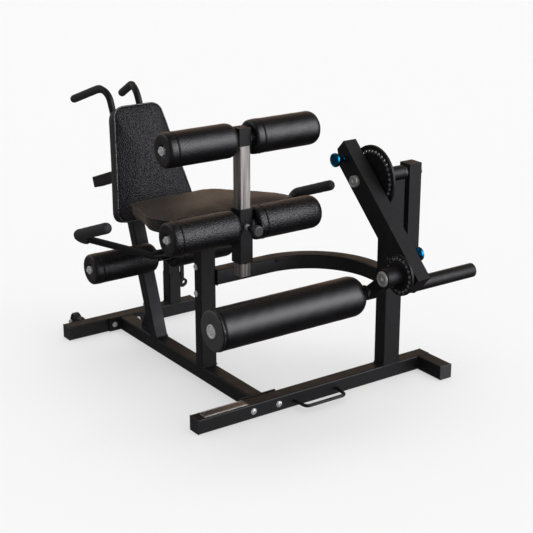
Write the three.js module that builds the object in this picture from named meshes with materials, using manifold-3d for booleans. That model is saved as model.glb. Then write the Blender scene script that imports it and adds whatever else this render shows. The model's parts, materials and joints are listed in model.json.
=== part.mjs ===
// Seated leg extension machine with a plate-loaded lever, a rebuild in millimetres, +Z up.
// The user sits facing -Y; +X is the user's left, where the plates are loaded.
// The working frame has x = 0 at the left end of the front cross beam, y = 0 on its front
// face and z = 0 on the floor. The last lines shift it to the middle of the object's base.
import * as THREE from 'three';
import { mergeVertices } from 'three/addons/utils/BufferGeometryUtils.js';
import Module from 'manifold-3d';

const wasm = await Module();
wasm.setup();

// ---------------------------------------------------------------- driving dimensions
const GAP = 0.3; // between pieces that touch
const BEAM = 50; // square frame tube
const WALL = 3;
const SEAT_X = 255; // middle plane of the seat, the pads and the rollers
const FRONT_LENGTH = 937;
const FOOT_REACH = 115; // forward foot at the right end
const REAR_Y = 915; // front face of the rear cross beam
const REAR_X = [24, 564];
const PLATE = 6; // welded flange plates
const PLATE_WIDTH = 140;

const SEAT_POST = { x: [225, 285], y: [335, 375], top: 527.5 };
const REAR_LEAN = THREE.MathUtils.degToRad(20); // rear post, backrest and its slide
const REAR_POST_Y = 671; // centre of the rear post where it meets the long beam
const REAR_POST_DEPTH = 40;
const BACK_SLEEVE_RISE = 587; // along the rear post, from the long beam's top
const BRACE = { y: 350, z: 360, radius: 253, mastX: 757 };
const MAST = { x: [733, 803], top: 690 };

const PIVOT = { y: 25, z: 706 }; // main pivot, a line along X
const HOUSING = { x: [695, 810], radius: 24 };
const AXLE_RADIUS = 14;
const RUN = 0.3; // running clearance on a radius, more than the facets take up
const WEIGHT_ARM_X = [820, 870];
const WEIGHT_ARM_TOP = 735;
const HORN = { z: 304, radius: 25, right: 1143 };

const LEVER = { x: [618, 668], depth: 75, tilt: THREE.MathUtils.degToRad(46.4), above: 130, below: 395 };
const START_DISC = { x: [684, 692], radius: 105, holeCircle: 87, holes: 34, holeRadius: 5.9 };
const HUB_DOWN = 346; // from the main pivot to the roller arm's pivot, along the lever
const HUB = { x: [530, 589.7], radius: 29 };
const ROLLER_DISC = { x: [590, 598], radius: 64, holeCircle: 53.5, holes: 20, holeRadius: 5.9 };
const ARM_X = [538, 578];
const SHIN = { y: -145, z: 400, radius: 65, x: [-37, 500] }; // lower roller

const SLEEVE = { x: [230, 280], y: [108, 158], z: [478, 654], bore: 41 };
const THIGH_POST = { size: 40, z: [433, 851.7] };
const THIGH_HEAD = { size: 42, z: [852, 908] }; // carries the axle of the upper rollers
const ROLLER_RADIUS = 55;
const ROLLER_X = [-22, 226]; // left roller of each front pair; the right one mirrors it
const THIGH_AXIS = { y: 138, z: 871 };
const KNEE_AXIS = { y: 124, z: 600 };
const REAR_AXIS = { y: 634, z: 362, radius: 53, x: [-24, 224] };
const ROD = 12.5; // radius of roller axles and handle tubes
const BORE = 13; // radius of a roller's bore

const PAD = { y: 183, top: 643, tilt: THREE.MathUtils.degToRad(7), thick: 50 };
// The pad's corners as half width and distance back, and how far each is rounded.
const PAD_OUTLINE = [[218, -34], [241, 30], [242, 118], [206, 208], [160, 375]];
const PAD_ROUNDING = [14, 60, 90, 120, 34];
const PAD_NOTCH = { half: 30, y: 161 }; // room for the sleeve in the pad's front edge
const PAD_CLEARANCE = 2.5; // the pad's front edge hugs the knee rollers at this distance
const BACK = { y: 639, z: 500, height: 391, foot: 157, head: 88, thick: 56, board: 5 };
const BACK_ROUNDING = { foot: 42, head: 30 };
const BACK_SLIDE = { size: 40, tail: 230, sleeveHalf: 52, holePitch: 25 };

// Handle routes as [half width, y, z] for the side handles, and for the top handles as
// [half width, height up the backrest, depth behind its front face].
const SIDE_HANDLE = {
  cross: [275, 205, 528], out: [420, 446, 557], grip: [420, 222, 640], bend: 13, radius: 11,
};
const SIDE_GRIP = { radius: 17.5, bore: 11.6, from: 40 };
const TOP_HANDLE = { route: [[55, 270, 74], [54.5, 479, 90], [99, 470, 284]], bend: 60, radius: 12 };
const LIFT_HANDLE = {
  route: [[364, -1.2, 22], [371, -57, 20], [528, -57, 20], [535, -1.2, 22]], bend: 16, radius: 5.5,
};

const PIN_RADIUS = 4.5;
const PIN_DEPTH = 4.2; // a pin's tip stops in the sleeve's wall, just short of the sliding tube
const THIGH_PIN = { z: 598, pitch: 40, holes: 4 };
const LONG_KNOB = { length: 68, radius: 20 };
const FLARED_KNOB = { length: 42, radius: 23 };
const ROLLER_WASHER = { radius: 16, thick: 5 };
const AXLE_END = 6; // an axle stands this far out of its roller

const STEEL_DARK = { color: 0x26272a, roughness: 0.55, metalness: 0.3 };
const STEEL_BARE = { color: 0x9a958c, roughness: 0.35, metalness: 1 };
const ZINC = { color: 0xb9bcc0, roughness: 0.3, metalness: 1 };
const BLUE = { color: 0x0f6f9c, roughness: 0.3, metalness: 0.9 };
const LEATHER = { color: 0x1d1c1e, roughness: 0.5, metalness: 0 };
const FOAM = { color: 0x2b2b2d, roughness: 0.9, metalness: 0 };
const PLASTIC = { color: 0x18181a, roughness: 0.6, metalness: 0 };

// ---------------------------------------------------------------- shape helpers
const model = new THREE.Group();

function add(name, geometry, finish, parent = model) {
  const mesh = new THREE.Mesh(geometry, new THREE.MeshStandardMaterial(finish));
  mesh.name = name;
  parent.add(mesh);
  return mesh;
}

function solid(geometry) {
  const bare = geometry.clone();
  bare.deleteAttribute('normal');
  bare.deleteAttribute('uv');
  const merged = mergeVertices(bare, 1e-4);
  return new wasm.Manifold(new wasm.Mesh({
    numProp: 3,
    vertProperties: new Float32Array(merged.attributes.position.array),
    triVerts: new Uint32Array(merged.index.array),
  }));
}

function surface(manifold) {
  const mesh = manifold.getMesh();
  const geometry = new THREE.BufferGeometry();
  geometry.setAttribute('position', new THREE.BufferAttribute(mesh.vertProperties, 3));
  geometry.setIndex(new THREE.BufferAttribute(mesh.triVerts, 1));
  return geometry;
}

function cut(geometry, ...tools) {
  return surface(tools.reduce((body, tool) => body.subtract(solid(tool)), solid(geometry)));
}

function join(geometry, ...others) {
  return surface(others.reduce((body, other) => body.add(solid(other)), solid(geometry)));
}

function common(geometry, other) {
  return surface(solid(geometry).intersect(solid(other)));
}

function block(x, y, z) {
  const box = new THREE.BoxGeometry(x[1] - x[0], y[1] - y[0], z[1] - z[0]);
  return box.translate((x[0] + x[1]) / 2, (y[0] + y[1]) / 2, (z[0] + z[1]) / 2);
}

function roundedRectangle(width, depth, radius, into = new THREE.Shape()) {
  const w = width / 2 - radius;
  const d = depth / 2 - radius;
  into.absarc(w, d, radius, 0, Math.PI / 2);
  into.absarc(-w, d, radius, Math.PI / 2, Math.PI);
  into.absarc(-w, -d, radius, Math.PI, Math.PI * 1.5);
  into.absarc(w, -d, radius, Math.PI * 1.5, Math.PI * 2);
  into.closePath();
  return into;
}

function tubeSection(width, depth, wall) {
  const shape = roundedRectangle(width, depth, 4);
  shape.holes.push(roundedRectangle(width - 2 * wall, depth - 2 * wall, 1.5, new THREE.Path()));
  return shape;
}

// A hollow rectangular tube from start to end; side is the direction of its width.
function rectTube(start, end, side, width = BEAM, depth = BEAM, wall = WALL) {
  const from = new THREE.Vector3(...start);
  const along = new THREE.Vector3(...end).sub(from);
  const length = along.length();
  along.normalize();
  const across = new THREE.Vector3(...side);
  const other = new THREE.Vector3().crossVectors(along, across);
  const tube = new THREE.ExtrudeGeometry(tubeSection(width, depth, wall), {
    depth: length, bevelEnabled: false, curveSegments: 1,
  });
  const place = new THREE.Matrix4().makeBasis(across, other, along).setPosition(from);
  return tube.applyMatrix4(place);
}

// A body of revolution along X; profile points are [x, radius] and run from axis to axis,
// or close on themselves when the body has a bore.
function turned(profile, y, z, sides = 20) {
  const points = profile.map(([x, radius]) => new THREE.Vector2(radius, x));
  const lathe = new THREE.LatheGeometry(points, sides);
  lathe.rotateZ(-Math.PI / 2);
  return lathe.translate(0, y, z);
}

function rod(x0, x1, radius, y, z, sides = 20) {
  return turned([[x0, 0], [x0, radius], [x1, radius], [x1, 0]], y, z, sides);
}

// A path of straight runs whose corners are bent to a radius.
class BentPath extends THREE.Curve {
  constructor(corners, bend, bendSteps = 6) {
    super();
    const points = corners.map((corner) => new THREE.Vector3(...corner));
    this.stops = [points[0]];
    for (let i = 1; i < points.length - 1; i += 1) {
      const back = points[i - 1].clone().sub(points[i]).normalize();
      const ahead = points[i + 1].clone().sub(points[i]).normalize();
      const half = back.angleTo(ahead) / 2;
      const middle = back.clone().add(ahead).normalize().multiplyScalar(bend / Math.sin(half));
      const centre = points[i].clone().add(middle);
      const first = points[i].clone().addScaledVector(back, bend / Math.tan(half)).sub(centre);
      const last = points[i].clone().addScaledVector(ahead, bend / Math.tan(half)).sub(centre);
      const normal = first.clone().cross(last).normalize();
      const sweep = first.angleTo(last);
      for (let step = 0; step <= bendSteps; step += 1) {
        this.stops.push(first.clone().applyAxisAngle(normal, sweep * step / bendSteps).add(centre));
      }
    }
    this.stops.push(points[points.length - 1]);
    this.steps = this.stops.length - 1;
  }

  getPoint(t) {
    return this.stops[Math.round(t * this.steps)].clone();
  }

  getPointAt(u) {
    return this.getPoint(u);
  }

  getTangentAt(u) {
    const i = Math.round(u * this.steps);
    const before = this.stops[Math.max(i - 1, 0)];
    const after = this.stops[Math.min(i + 1, this.steps)];
    const here = this.stops[i];
    const into = i > 0 ? here.clone().sub(before).normalize() : new THREE.Vector3();
    const out = i < this.steps ? after.clone().sub(here).normalize() : new THREE.Vector3();
    return into.add(out).normalize();
  }
}

function sweptAlong(path, shape, curveSegments = 1) {
  return new THREE.ExtrudeGeometry(shape, { steps: path.steps, extrudePath: path, curveSegments });
}

function bentRod(corners, bend, radius, curveSegments = 5) {
  const disc = new THREE.Shape().absarc(0, 0, radius, 0, Math.PI * 2);
  return sweptAlong(new BentPath(corners, bend), disc, curveSegments);
}

function mirrored(x) {
  return 2 * SEAT_X - x;
}

// A disc along X with a ring of index holes, a bore and a spacing collar.
function indexDisc(spec, collarX, collarRadius, bore, y, z) {
  const shape = new THREE.Shape();
  const rimArcs = 8; // the rim is finer than the holes
  for (let i = 0; i < rimArcs; i += 1) {
    shape.absarc(0, 0, spec.radius, (i * 2 * Math.PI) / rimArcs, ((i + 1) * 2 * Math.PI) / rimArcs);
  }
  for (let i = 0; i < spec.holes; i += 1) {
    const angle = (i * 2 * Math.PI) / spec.holes;
    const hole = new THREE.Path();
    hole.absarc(spec.holeCircle * Math.cos(angle), spec.holeCircle * Math.sin(angle),
      spec.holeRadius, 0, Math.PI * 2);
    shape.holes.push(hole);
  }
  const plate = new THREE.ExtrudeGeometry(shape, {
    depth: spec.x[1] - spec.x[0], bevelEnabled: false, curveSegments: 3,
  });
  const lean = spec.lean ?? 0;
  plate.rotateZ(lean);
  plate.applyMatrix4(new THREE.Matrix4().makeBasis(
    new THREE.Vector3(0, 1, 0), new THREE.Vector3(0, 0, 1), new THREE.Vector3(1, 0, 0),
  ).setPosition(spec.x[0], y, z));
  const collar = rod(collarX[0], collarX[1], collarRadius, y, z);
  return cut(join(plate, collar), rod(spec.x[0] - 40, spec.x[1] + 40, bore, y, z));
}

// ---------------------------------------------------------------- floor frame
function tubeCap(normalAxis, at, outward, centre) {
  // A square plug that closes a beam's end: a lip outside and a spigot inside.
  const lip = 3;
  const spigot = (BEAM - 2 * WALL) / 2 - 1;
  const half = BEAM / 2;
  const span = (depth, from) => (outward > 0 ? [from, from + depth] : [from - depth, from]);
  const lipSpan = span(lip, at);
  const spigotSpan = outward > 0 ? [at - 12, at + 1] : [at - 1, at + 12];
  const sides = (size) => [[centre[0] - size, centre[0] + size], [centre[1] - size, centre[1] + size]];
  const [a, b] = sides(half);
  const [c, d] = sides(spigot);
  if (normalAxis === 'x') {
    return join(block(lipSpan, a, b), block(spigotSpan, c, d));
  }
  return join(block(a, lipSpan, b), block(c, spigotSpan, d));
}

function floorFrame() {
  const mid = BEAM / 2;
  const lip = 3 + GAP;
  const boltX = [SEAT_X - 49, SEAT_X + 49];
  add('front_crossbeam', rectTube([lip, mid, mid], [FRONT_LENGTH - lip, mid, mid], [0, 1, 0]),
    STEEL_DARK);
  add('front_left_cap', tubeCap('x', 3, -1, [mid, mid]), PLASTIC);
  add('front_right_cap', tubeCap('x', FRONT_LENGTH - 3, 1, [mid, mid]), PLASTIC);

  const footX = FRONT_LENGTH - mid;
  add('front_foot', rectTube([footX, -FOOT_REACH + lip, mid], [footX, -GAP, mid], [1, 0, 0]), STEEL_DARK);
  add('front_foot_cap', tubeCap('y', -FOOT_REACH + 3, -1, [footX, mid]), PLASTIC);

  const plateX = [SEAT_X - PLATE_WIDTH / 2, SEAT_X + PLATE_WIDTH / 2];
  const frontPlateY = [BEAM + GAP, BEAM + GAP + PLATE];
  const rearPlateY = [REAR_Y - GAP - PLATE, REAR_Y - GAP];
  const plateHoles = (y) => boltX.map((x) => {
    const hole = new THREE.CylinderGeometry(6, 6, 30, 16);
    return hole.translate(x, y, mid);
  });
  // The long beam has a flange plate welded over each end; a drain hole opens its inside.
  const drain = new THREE.CylinderGeometry(5, 5, 20, 16).rotateX(Math.PI / 2).translate(SEAT_X, 500, 0);
  const longTube = rectTube([SEAT_X, frontPlateY[1] - 1, mid], [SEAT_X, rearPlateY[0] + 1, mid],
    [1, 0, 0]);
  const plateZ = [1, BEAM + 2];
  const flanged = join(longTube, block(plateX, frontPlateY, plateZ), block(plateX, rearPlateY, plateZ));
  const boltHoles = [...plateHoles(frontPlateY[0]), ...plateHoles(rearPlateY[0])];
  add('long_beam', cut(flanged, drain, ...boltHoles), STEEL_DARK);

  add('rear_crossbeam', rectTube([REAR_X[0] + lip, REAR_Y + mid, mid], [REAR_X[1] - lip, REAR_Y + mid, mid],
    [0, 1, 0]), STEEL_DARK);
  add('rear_left_cap', tubeCap('x', REAR_X[0] + 3, -1, [REAR_Y + mid, mid]), PLASTIC);
  add('rear_right_cap', tubeCap('x', REAR_X[1] - 3, 1, [REAR_Y + mid, mid]), PLASTIC);

  add('name_plate', block([27, 190], [5, 45], [BEAM + GAP, BEAM + GAP + 1.5]), STEEL_BARE);
  add('lift_handle', bentRod(LIFT_HANDLE.route, LIFT_HANDLE.bend, LIFT_HANDLE.radius), STEEL_DARK);
}

// ---------------------------------------------------------------- transport wheels
function transportWheel(side, centreX) {
  const centre = { y: 1004, z: 36 };
  const radius = 29;
  const halfWidth = 12;
  const cheek = (x0) => block([x0, x0 + 4], [REAR_Y + BEAM + GAP, centre.y + 14], [12, 48]);
  const back = block([centreX - 18, centreX + 18], [REAR_Y + BEAM + GAP, REAR_Y + BEAM + GAP + 4],
    [12, 48]);
  const pin = rod(centreX - 22, centreX + 22, 6, centre.y, centre.z, 16);
  add(`wheel_bracket_${side}`, join(back, cheek(centreX - 18), cheek(centreX + 14), pin), STEEL_DARK);
  add(`wheel_${side}`, turned([
    [centreX - halfWidth, 6.4], [centreX - halfWidth, radius - 3], [centreX - halfWidth + 3, radius],
    [centreX + halfWidth - 3, radius], [centreX + halfWidth, radius - 3], [centreX + halfWidth, 6.4],
    [centreX - halfWidth, 6.4],
  ], centre.y, centre.z, 20), PLASTIC);
}

// ---------------------------------------------------------------- upright frame
const up = new THREE.Vector3(0, Math.sin(REAR_LEAN), Math.cos(REAR_LEAN)); // along the rear post
const ahead = new THREE.Vector3(0, -Math.cos(REAR_LEAN), Math.sin(REAR_LEAN)); // out of the backrest
const postFoot = new THREE.Vector3(SEAT_X, REAR_POST_Y, BEAM);
const sleeveCentre = postFoot.clone().addScaledVector(up, BACK_SLEEVE_RISE);

// The unit axes of everything that leans with the rear post: x, forward, along the post.
function leaning(geometry, origin) {
  const place = new THREE.Matrix4().makeBasis(new THREE.Vector3(-1, 0, 0), ahead, up).setPosition(origin);
  return geometry.applyMatrix4(place);
}

function uprights() {
  const post = SEAT_POST;
  add('seat_post', rectTube([SEAT_X, (post.y[0] + post.y[1]) / 2, BEAM + GAP],
    [SEAT_X, (post.y[0] + post.y[1]) / 2, post.top], [1, 0, 0], 60, 40), STEEL_DARK);

  const above = block([0, 600], [300, 1300], [BEAM + GAP, 900]);
  const start = postFoot.clone().addScaledVector(up, -40);
  const end = postFoot.clone().addScaledVector(up, BACK_SLEEVE_RISE - BEAM / 2 - GAP);
  const leaningPost = rectTube(start.toArray(), end.toArray(), [1, 0, 0], BEAM, REAR_POST_DEPTH);
  add('rear_post', common(leaningPost, above), STEEL_DARK);

  // Gusset behind the foot of the rear post, with a round hole.
  const rearFoot = REAR_POST_Y + REAR_POST_DEPTH / 2 / Math.cos(REAR_LEAN) + GAP;
  const rise = 92;
  const gusset = new THREE.Shape();
  gusset.moveTo(rearFoot + 0.3, 0);
  gusset.lineTo(rearFoot + 95, 0);
  gusset.lineTo(rearFoot + 95, 8);
  gusset.lineTo(rearFoot + 0.3 + rise * Math.tan(REAR_LEAN) + 8, rise);
  gusset.lineTo(rearFoot + 0.3 + rise * Math.tan(REAR_LEAN), rise);
  gusset.closePath();
  const hole = new THREE.Path();
  hole.absarc(rearFoot + 45, 26, 9, 0, Math.PI * 2);
  gusset.holes.push(hole);
  const plate = new THREE.ExtrudeGeometry(gusset, { depth: 8, bevelEnabled: false, curveSegments: 10 });
  plate.applyMatrix4(new THREE.Matrix4().makeBasis(
    new THREE.Vector3(0, 1, 0), new THREE.Vector3(0, 0, 1), new THREE.Vector3(1, 0, 0),
  ).setPosition(SEAT_X - 4, 0, BEAM + GAP));
  add('rear_gusset', plate, STEEL_DARK);

  // The mast's top is saddled round the pivot's tube.
  const { x: [left, right], radius } = HOUSING;
  const saddle = rod(left, right + 30, radius + GAP, PIVOT.y, PIVOT.z, 24);
  const mastX = (MAST.x[0] + MAST.x[1]) / 2;
  const mast = rectTube([mastX, BEAM / 2, BEAM + GAP], [mastX, BEAM / 2, MAST.top], [1, 0, 0],
    MAST.x[1] - MAST.x[0], BEAM, 4);
  add('mast', cut(mast, saddle), STEEL_DARK);
  const bore = AXLE_RADIUS + RUN;
  add('pivot_housing', turned([
    [left, bore], [left, radius - 1], [left + 1, radius],
    [right - 1, radius], [right, radius - 1], [right, bore], [left, bore],
  ], PIVOT.y, PIVOT.z, 24), STEEL_DARK);

  // The brace leaves the seat post sideways and bends forward into the back of the mast.
  const braceStart = post.x[1] + GAP;
  const path = new BentPath([
    [braceStart, BRACE.y, BRACE.z], [BRACE.mastX, BRACE.y, BRACE.z], [BRACE.mastX, BEAM + GAP, BRACE.z],
  ], BRACE.radius, 12);
  add('curved_brace', sweptAlong(path, tubeSection(BEAM, BEAM, WALL)), STEEL_DARK);
}

// ---------------------------------------------------------------- seat
const padTilt = new THREE.Matrix4().makeRotationX(-PAD.tilt);
const padBottom = new THREE.Vector3(SEAT_X, PAD.y, PAD.top - PAD.thick);

function onPad(x, back, height) {
  return new THREE.Vector3(x, back, height).applyMatrix4(padTilt).add(padBottom);
}

function seat() {
  const outline = new THREE.Shape();
  const corners = [...PAD_OUTLINE, ...PAD_OUTLINE.map(([half, back]) => [-half, back]).reverse()];
  const radii = [...PAD_ROUNDING, ...PAD_ROUNDING.slice().reverse()];
  corners.forEach(([x, y], i) => {
    // Each corner is a curve whose ends lie back along the two sides.
    const here = new THREE.Vector2(x, y);
    const [px, py] = corners[(i + corners.length - 1) % corners.length];
    const [nx, ny] = corners[(i + 1) % corners.length];
    const toBack = new THREE.Vector2(px, py).sub(here);
    const toNext = new THREE.Vector2(nx, ny).sub(here);
    const trim = Math.min(radii[i], 0.42 * toBack.length(), 0.42 * toNext.length());
    const a = here.clone().addScaledVector(toBack.normalize(), trim);
    const b = here.clone().addScaledVector(toNext.normalize(), trim);
    if (i === 0) {
      outline.moveTo(a.x, a.y);
    } else {
      outline.lineTo(a.x, a.y);
    }
    outline.quadraticCurveTo(here.x, here.y, b.x, b.y);
  });
  outline.closePath();
  const pad = new THREE.ExtrudeGeometry(outline, {
    depth: PAD.thick, bevelEnabled: false, curveSegments: 5,
  });
  pad.applyMatrix4(padTilt).translate(padBottom.x, padBottom.y, padBottom.z);
  const rollerRoom = rod(SEAT_X - 300, SEAT_X + 300, ROLLER_RADIUS + PAD_CLEARANCE,
    KNEE_AXIS.y, KNEE_AXIS.z, 40);
  const notch = block([SEAT_X - PAD_NOTCH.half, SEAT_X + PAD_NOTCH.half], [0, PAD_NOTCH.y], [500, 750]);
  add('seat_pad', cut(pad, rollerRoom, notch), LEATHER);

  const beamDrop = -20 - GAP;
  const from = onPad(0, -20, beamDrop);
  const to = onPad(0, 340, beamDrop);
  add('seat_beam', rectTube(from.toArray(), to.toArray(), [1, 0, 0], BEAM, 40), STEEL_DARK);

  const { y: [front, rear], z: [bottom, top], bore } = SLEEVE;
  const midY = (front + rear) / 2;
  const wall = (BEAM - bore) / 2;
  const body = rectTube([SEAT_X, midY, bottom], [SEAT_X, midY, top], [1, 0, 0], BEAM, BEAM, wall);
  const pinHole = new THREE.CylinderGeometry(PIN_RADIUS + 0.3, PIN_RADIUS + 0.3, 20, 16);
  pinHole.translate(SEAT_X, front, THIGH_PIN.z);
  add('thigh_sleeve', cut(body, pinHole), STEEL_DARK);
}

// ---------------------------------------------------------------- rollers
// A foam roller along X with a turned end on the left and a rounded right end.
function roller(name, x, radius, y, z, domed = 22) {
  const [left, right] = x;
  const profile = [[left, BORE], [left, radius - 5], [left + 5, radius]];
  const arcSteps = 3;
  for (let i = 0; i <= arcSteps; i += 1) {
    const angle = (i / arcSteps) * Math.PI / 2;
    profile.push([right - domed + domed * Math.sin(angle), radius - domed + domed * Math.cos(angle)]);
  }
  profile.push([right, BORE], [left, BORE]);
  add(name, turned(profile, y, z, 20), LEATHER);
}

// A stub or through axle with a retaining washer at each free end.
function axleProfile(x0, x1, washers) {
  const { radius: washer, thick } = ROLLER_WASHER;
  const profile = [[x0, 0]];
  if (washers[0]) {
    profile.push([x0, washer], [x0 + thick, washer]);
  }
  profile.push([washers[0] ? x0 + thick : x0, ROD], [washers[1] ? x1 - thick : x1, ROD]);
  if (washers[1]) {
    profile.push([x1 - thick, washer], [x1, washer]);
  }
  profile.push([x1, 0]);
  return profile;
}

function rollerPair(names, axis, radius, x) {
  roller(names[0], x, radius, axis.y, axis.z);
  const right = [mirrored(x[1]), mirrored(x[0])];
  roller(names[1], right, radius, axis.y, axis.z);
}

function fixedRollers() {
  const end = AXLE_END;
  rollerPair(['knee_roller_left', 'knee_roller_right'], KNEE_AXIS, ROLLER_RADIUS, ROLLER_X);
  const stub = axleProfile(ROLLER_X[0] - end, SLEEVE.x[0] - GAP, [true, false]);
  add('knee_axle_left', turned(stub, KNEE_AXIS.y, KNEE_AXIS.z, 16), ZINC);
  const stubRight = axleProfile(SLEEVE.x[1] + GAP, mirrored(ROLLER_X[0] - end), [false, true]);
  add('knee_axle_right', turned(stubRight, KNEE_AXIS.y, KNEE_AXIS.z, 16), ZINC);

  const rear = REAR_AXIS;
  rollerPair(['rear_roller_left', 'rear_roller_right'], rear, rear.radius, rear.x);
  const through = axleProfile(rear.x[0] - end, mirrored(rear.x[0] - end), [true, true]);
  add('rear_roller_axle', turned(through, rear.y, rear.z, 16), ZINC);
  // The arm that carries the axle stands out of the rear post at a right angle.
  const axlePoint = new THREE.Vector3(SEAT_X, rear.y, rear.z);
  const reach = axlePoint.clone().sub(postFoot).dot(ahead);
  const from = axlePoint.clone().addScaledVector(ahead, REAR_POST_DEPTH / 2 + GAP - reach);
  const to = axlePoint.clone().addScaledVector(ahead, 22);
  const arm = rectTube(from.toArray(), to.toArray(), [1, 0, 0], 40, 40);
  add('rear_roller_arm', cut(arm, rod(200, 310, ROD + GAP, rear.y, rear.z)), STEEL_DARK);
}

// ---------------------------------------------------------------- side handles
function sideHandles() {
  const { cross, out, grip, bend, radius } = SIDE_HANDLE;
  const corner = (sign, [half, y, z]) => new THREE.Vector3(SEAT_X + sign * half, y, z);
  const inside = (sign) => corner(sign, out).lerp(corner(sign, grip), 0.86); // ends inside the grip
  const route = [
    inside(-1), corner(-1, out), corner(-1, cross), corner(1, cross), corner(1, out), inside(1),
  ].map((point) => point.toArray());
  add('handle_bar', bentRod(route, bend, radius), STEEL_DARK);

  const { radius: outer, bore, from } = SIDE_GRIP;
  for (const [side, sign] of [['left', -1], ['right', 1]]) {
    const start = corner(sign, out);
    const axis = corner(sign, grip).sub(start);
    const length = axis.length();
    const profile = [
      [from, bore], [from, outer - 2], [from + 2, outer], [length - 8, outer], [length - 2, outer - 5],
      [length, 6], [length, 0], [length - 12, 0], [length - 12, bore], [from, bore],
    ];
    const sleeve = new THREE.LatheGeometry(profile.map(([along, r]) => new THREE.Vector2(r, along)), 16);
    sleeve.applyQuaternion(new THREE.Quaternion().setFromUnitVectors(
      new THREE.Vector3(0, 1, 0), axis.normalize(),
    ));
    add(`side_grip_${side}`, sleeve.translate(start.x, start.y, start.z), FOAM);
  }
}

// ---------------------------------------------------------------- thigh hold-down
// A plunger along +Y: pin, stem and knob, with the pin's tip at y = 0.
function pullKnob(reach, { length, radius }) {
  const stem = length / 2;
  const points = [
    [0, 0], [0, PIN_RADIUS], [-reach, PIN_RADIUS], [-reach, 8], [-reach - stem, 8],
    [-reach - stem, radius * 0.7], [-reach - stem - 6, radius - 1], [-reach - length + 8, radius],
    [-reach - length + 2, radius * 0.75], [-reach - length, 0],
  ].map(([y, r]) => new THREE.Vector2(r, y)).reverse();
  return new THREE.LatheGeometry(points, 16);
}

function thighHold() {
  const midY = (SLEEVE.y[0] + SLEEVE.y[1]) / 2;
  const { size, z: [bottom, top] } = THIGH_POST;
  const tube = rectTube([SEAT_X, midY, bottom], [SEAT_X, midY, top], [1, 0, 0], size, size, WALL);
  const holes = Array.from({ length: THIGH_PIN.holes }, (_, i) => {
    const hole = new THREE.CylinderGeometry(PIN_RADIUS + 0.5, PIN_RADIUS + 0.5, 12, 16);
    return hole.translate(SEAT_X, midY - size / 2, THIGH_PIN.z - i * THIGH_PIN.pitch);
  });
  add('thigh_post', cut(tube, ...holes), STEEL_BARE);

  const half = THIGH_HEAD.size / 2;
  const head = block([SEAT_X - half, SEAT_X + half], [midY - half, midY + half], THIGH_HEAD.z);
  const passage = rod(220, 290, ROD + GAP, THIGH_AXIS.y, THIGH_AXIS.z);
  add('thigh_head', cut(head, passage), STEEL_DARK);

  const end = AXLE_END;
  const through = axleProfile(ROLLER_X[0] - end, mirrored(ROLLER_X[0] - end), [true, true]);
  add('thigh_axle', turned(through, THIGH_AXIS.y, THIGH_AXIS.z, 16), ZINC);
  rollerPair(['thigh_roller_left', 'thigh_roller_right'], THIGH_AXIS, ROLLER_RADIUS, ROLLER_X);

  const pin = pullKnob(PIN_DEPTH + GAP, LONG_KNOB);
  pin.translate(SEAT_X, SLEEVE.y[0] + PIN_DEPTH, THIGH_PIN.z);
  add('thigh_pin', pin, PLASTIC);
}

// ---------------------------------------------------------------- backrest
const backOrigin = new THREE.Vector3(SEAT_X, BACK.y, BACK.z); // foot of the pad's front face

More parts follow.
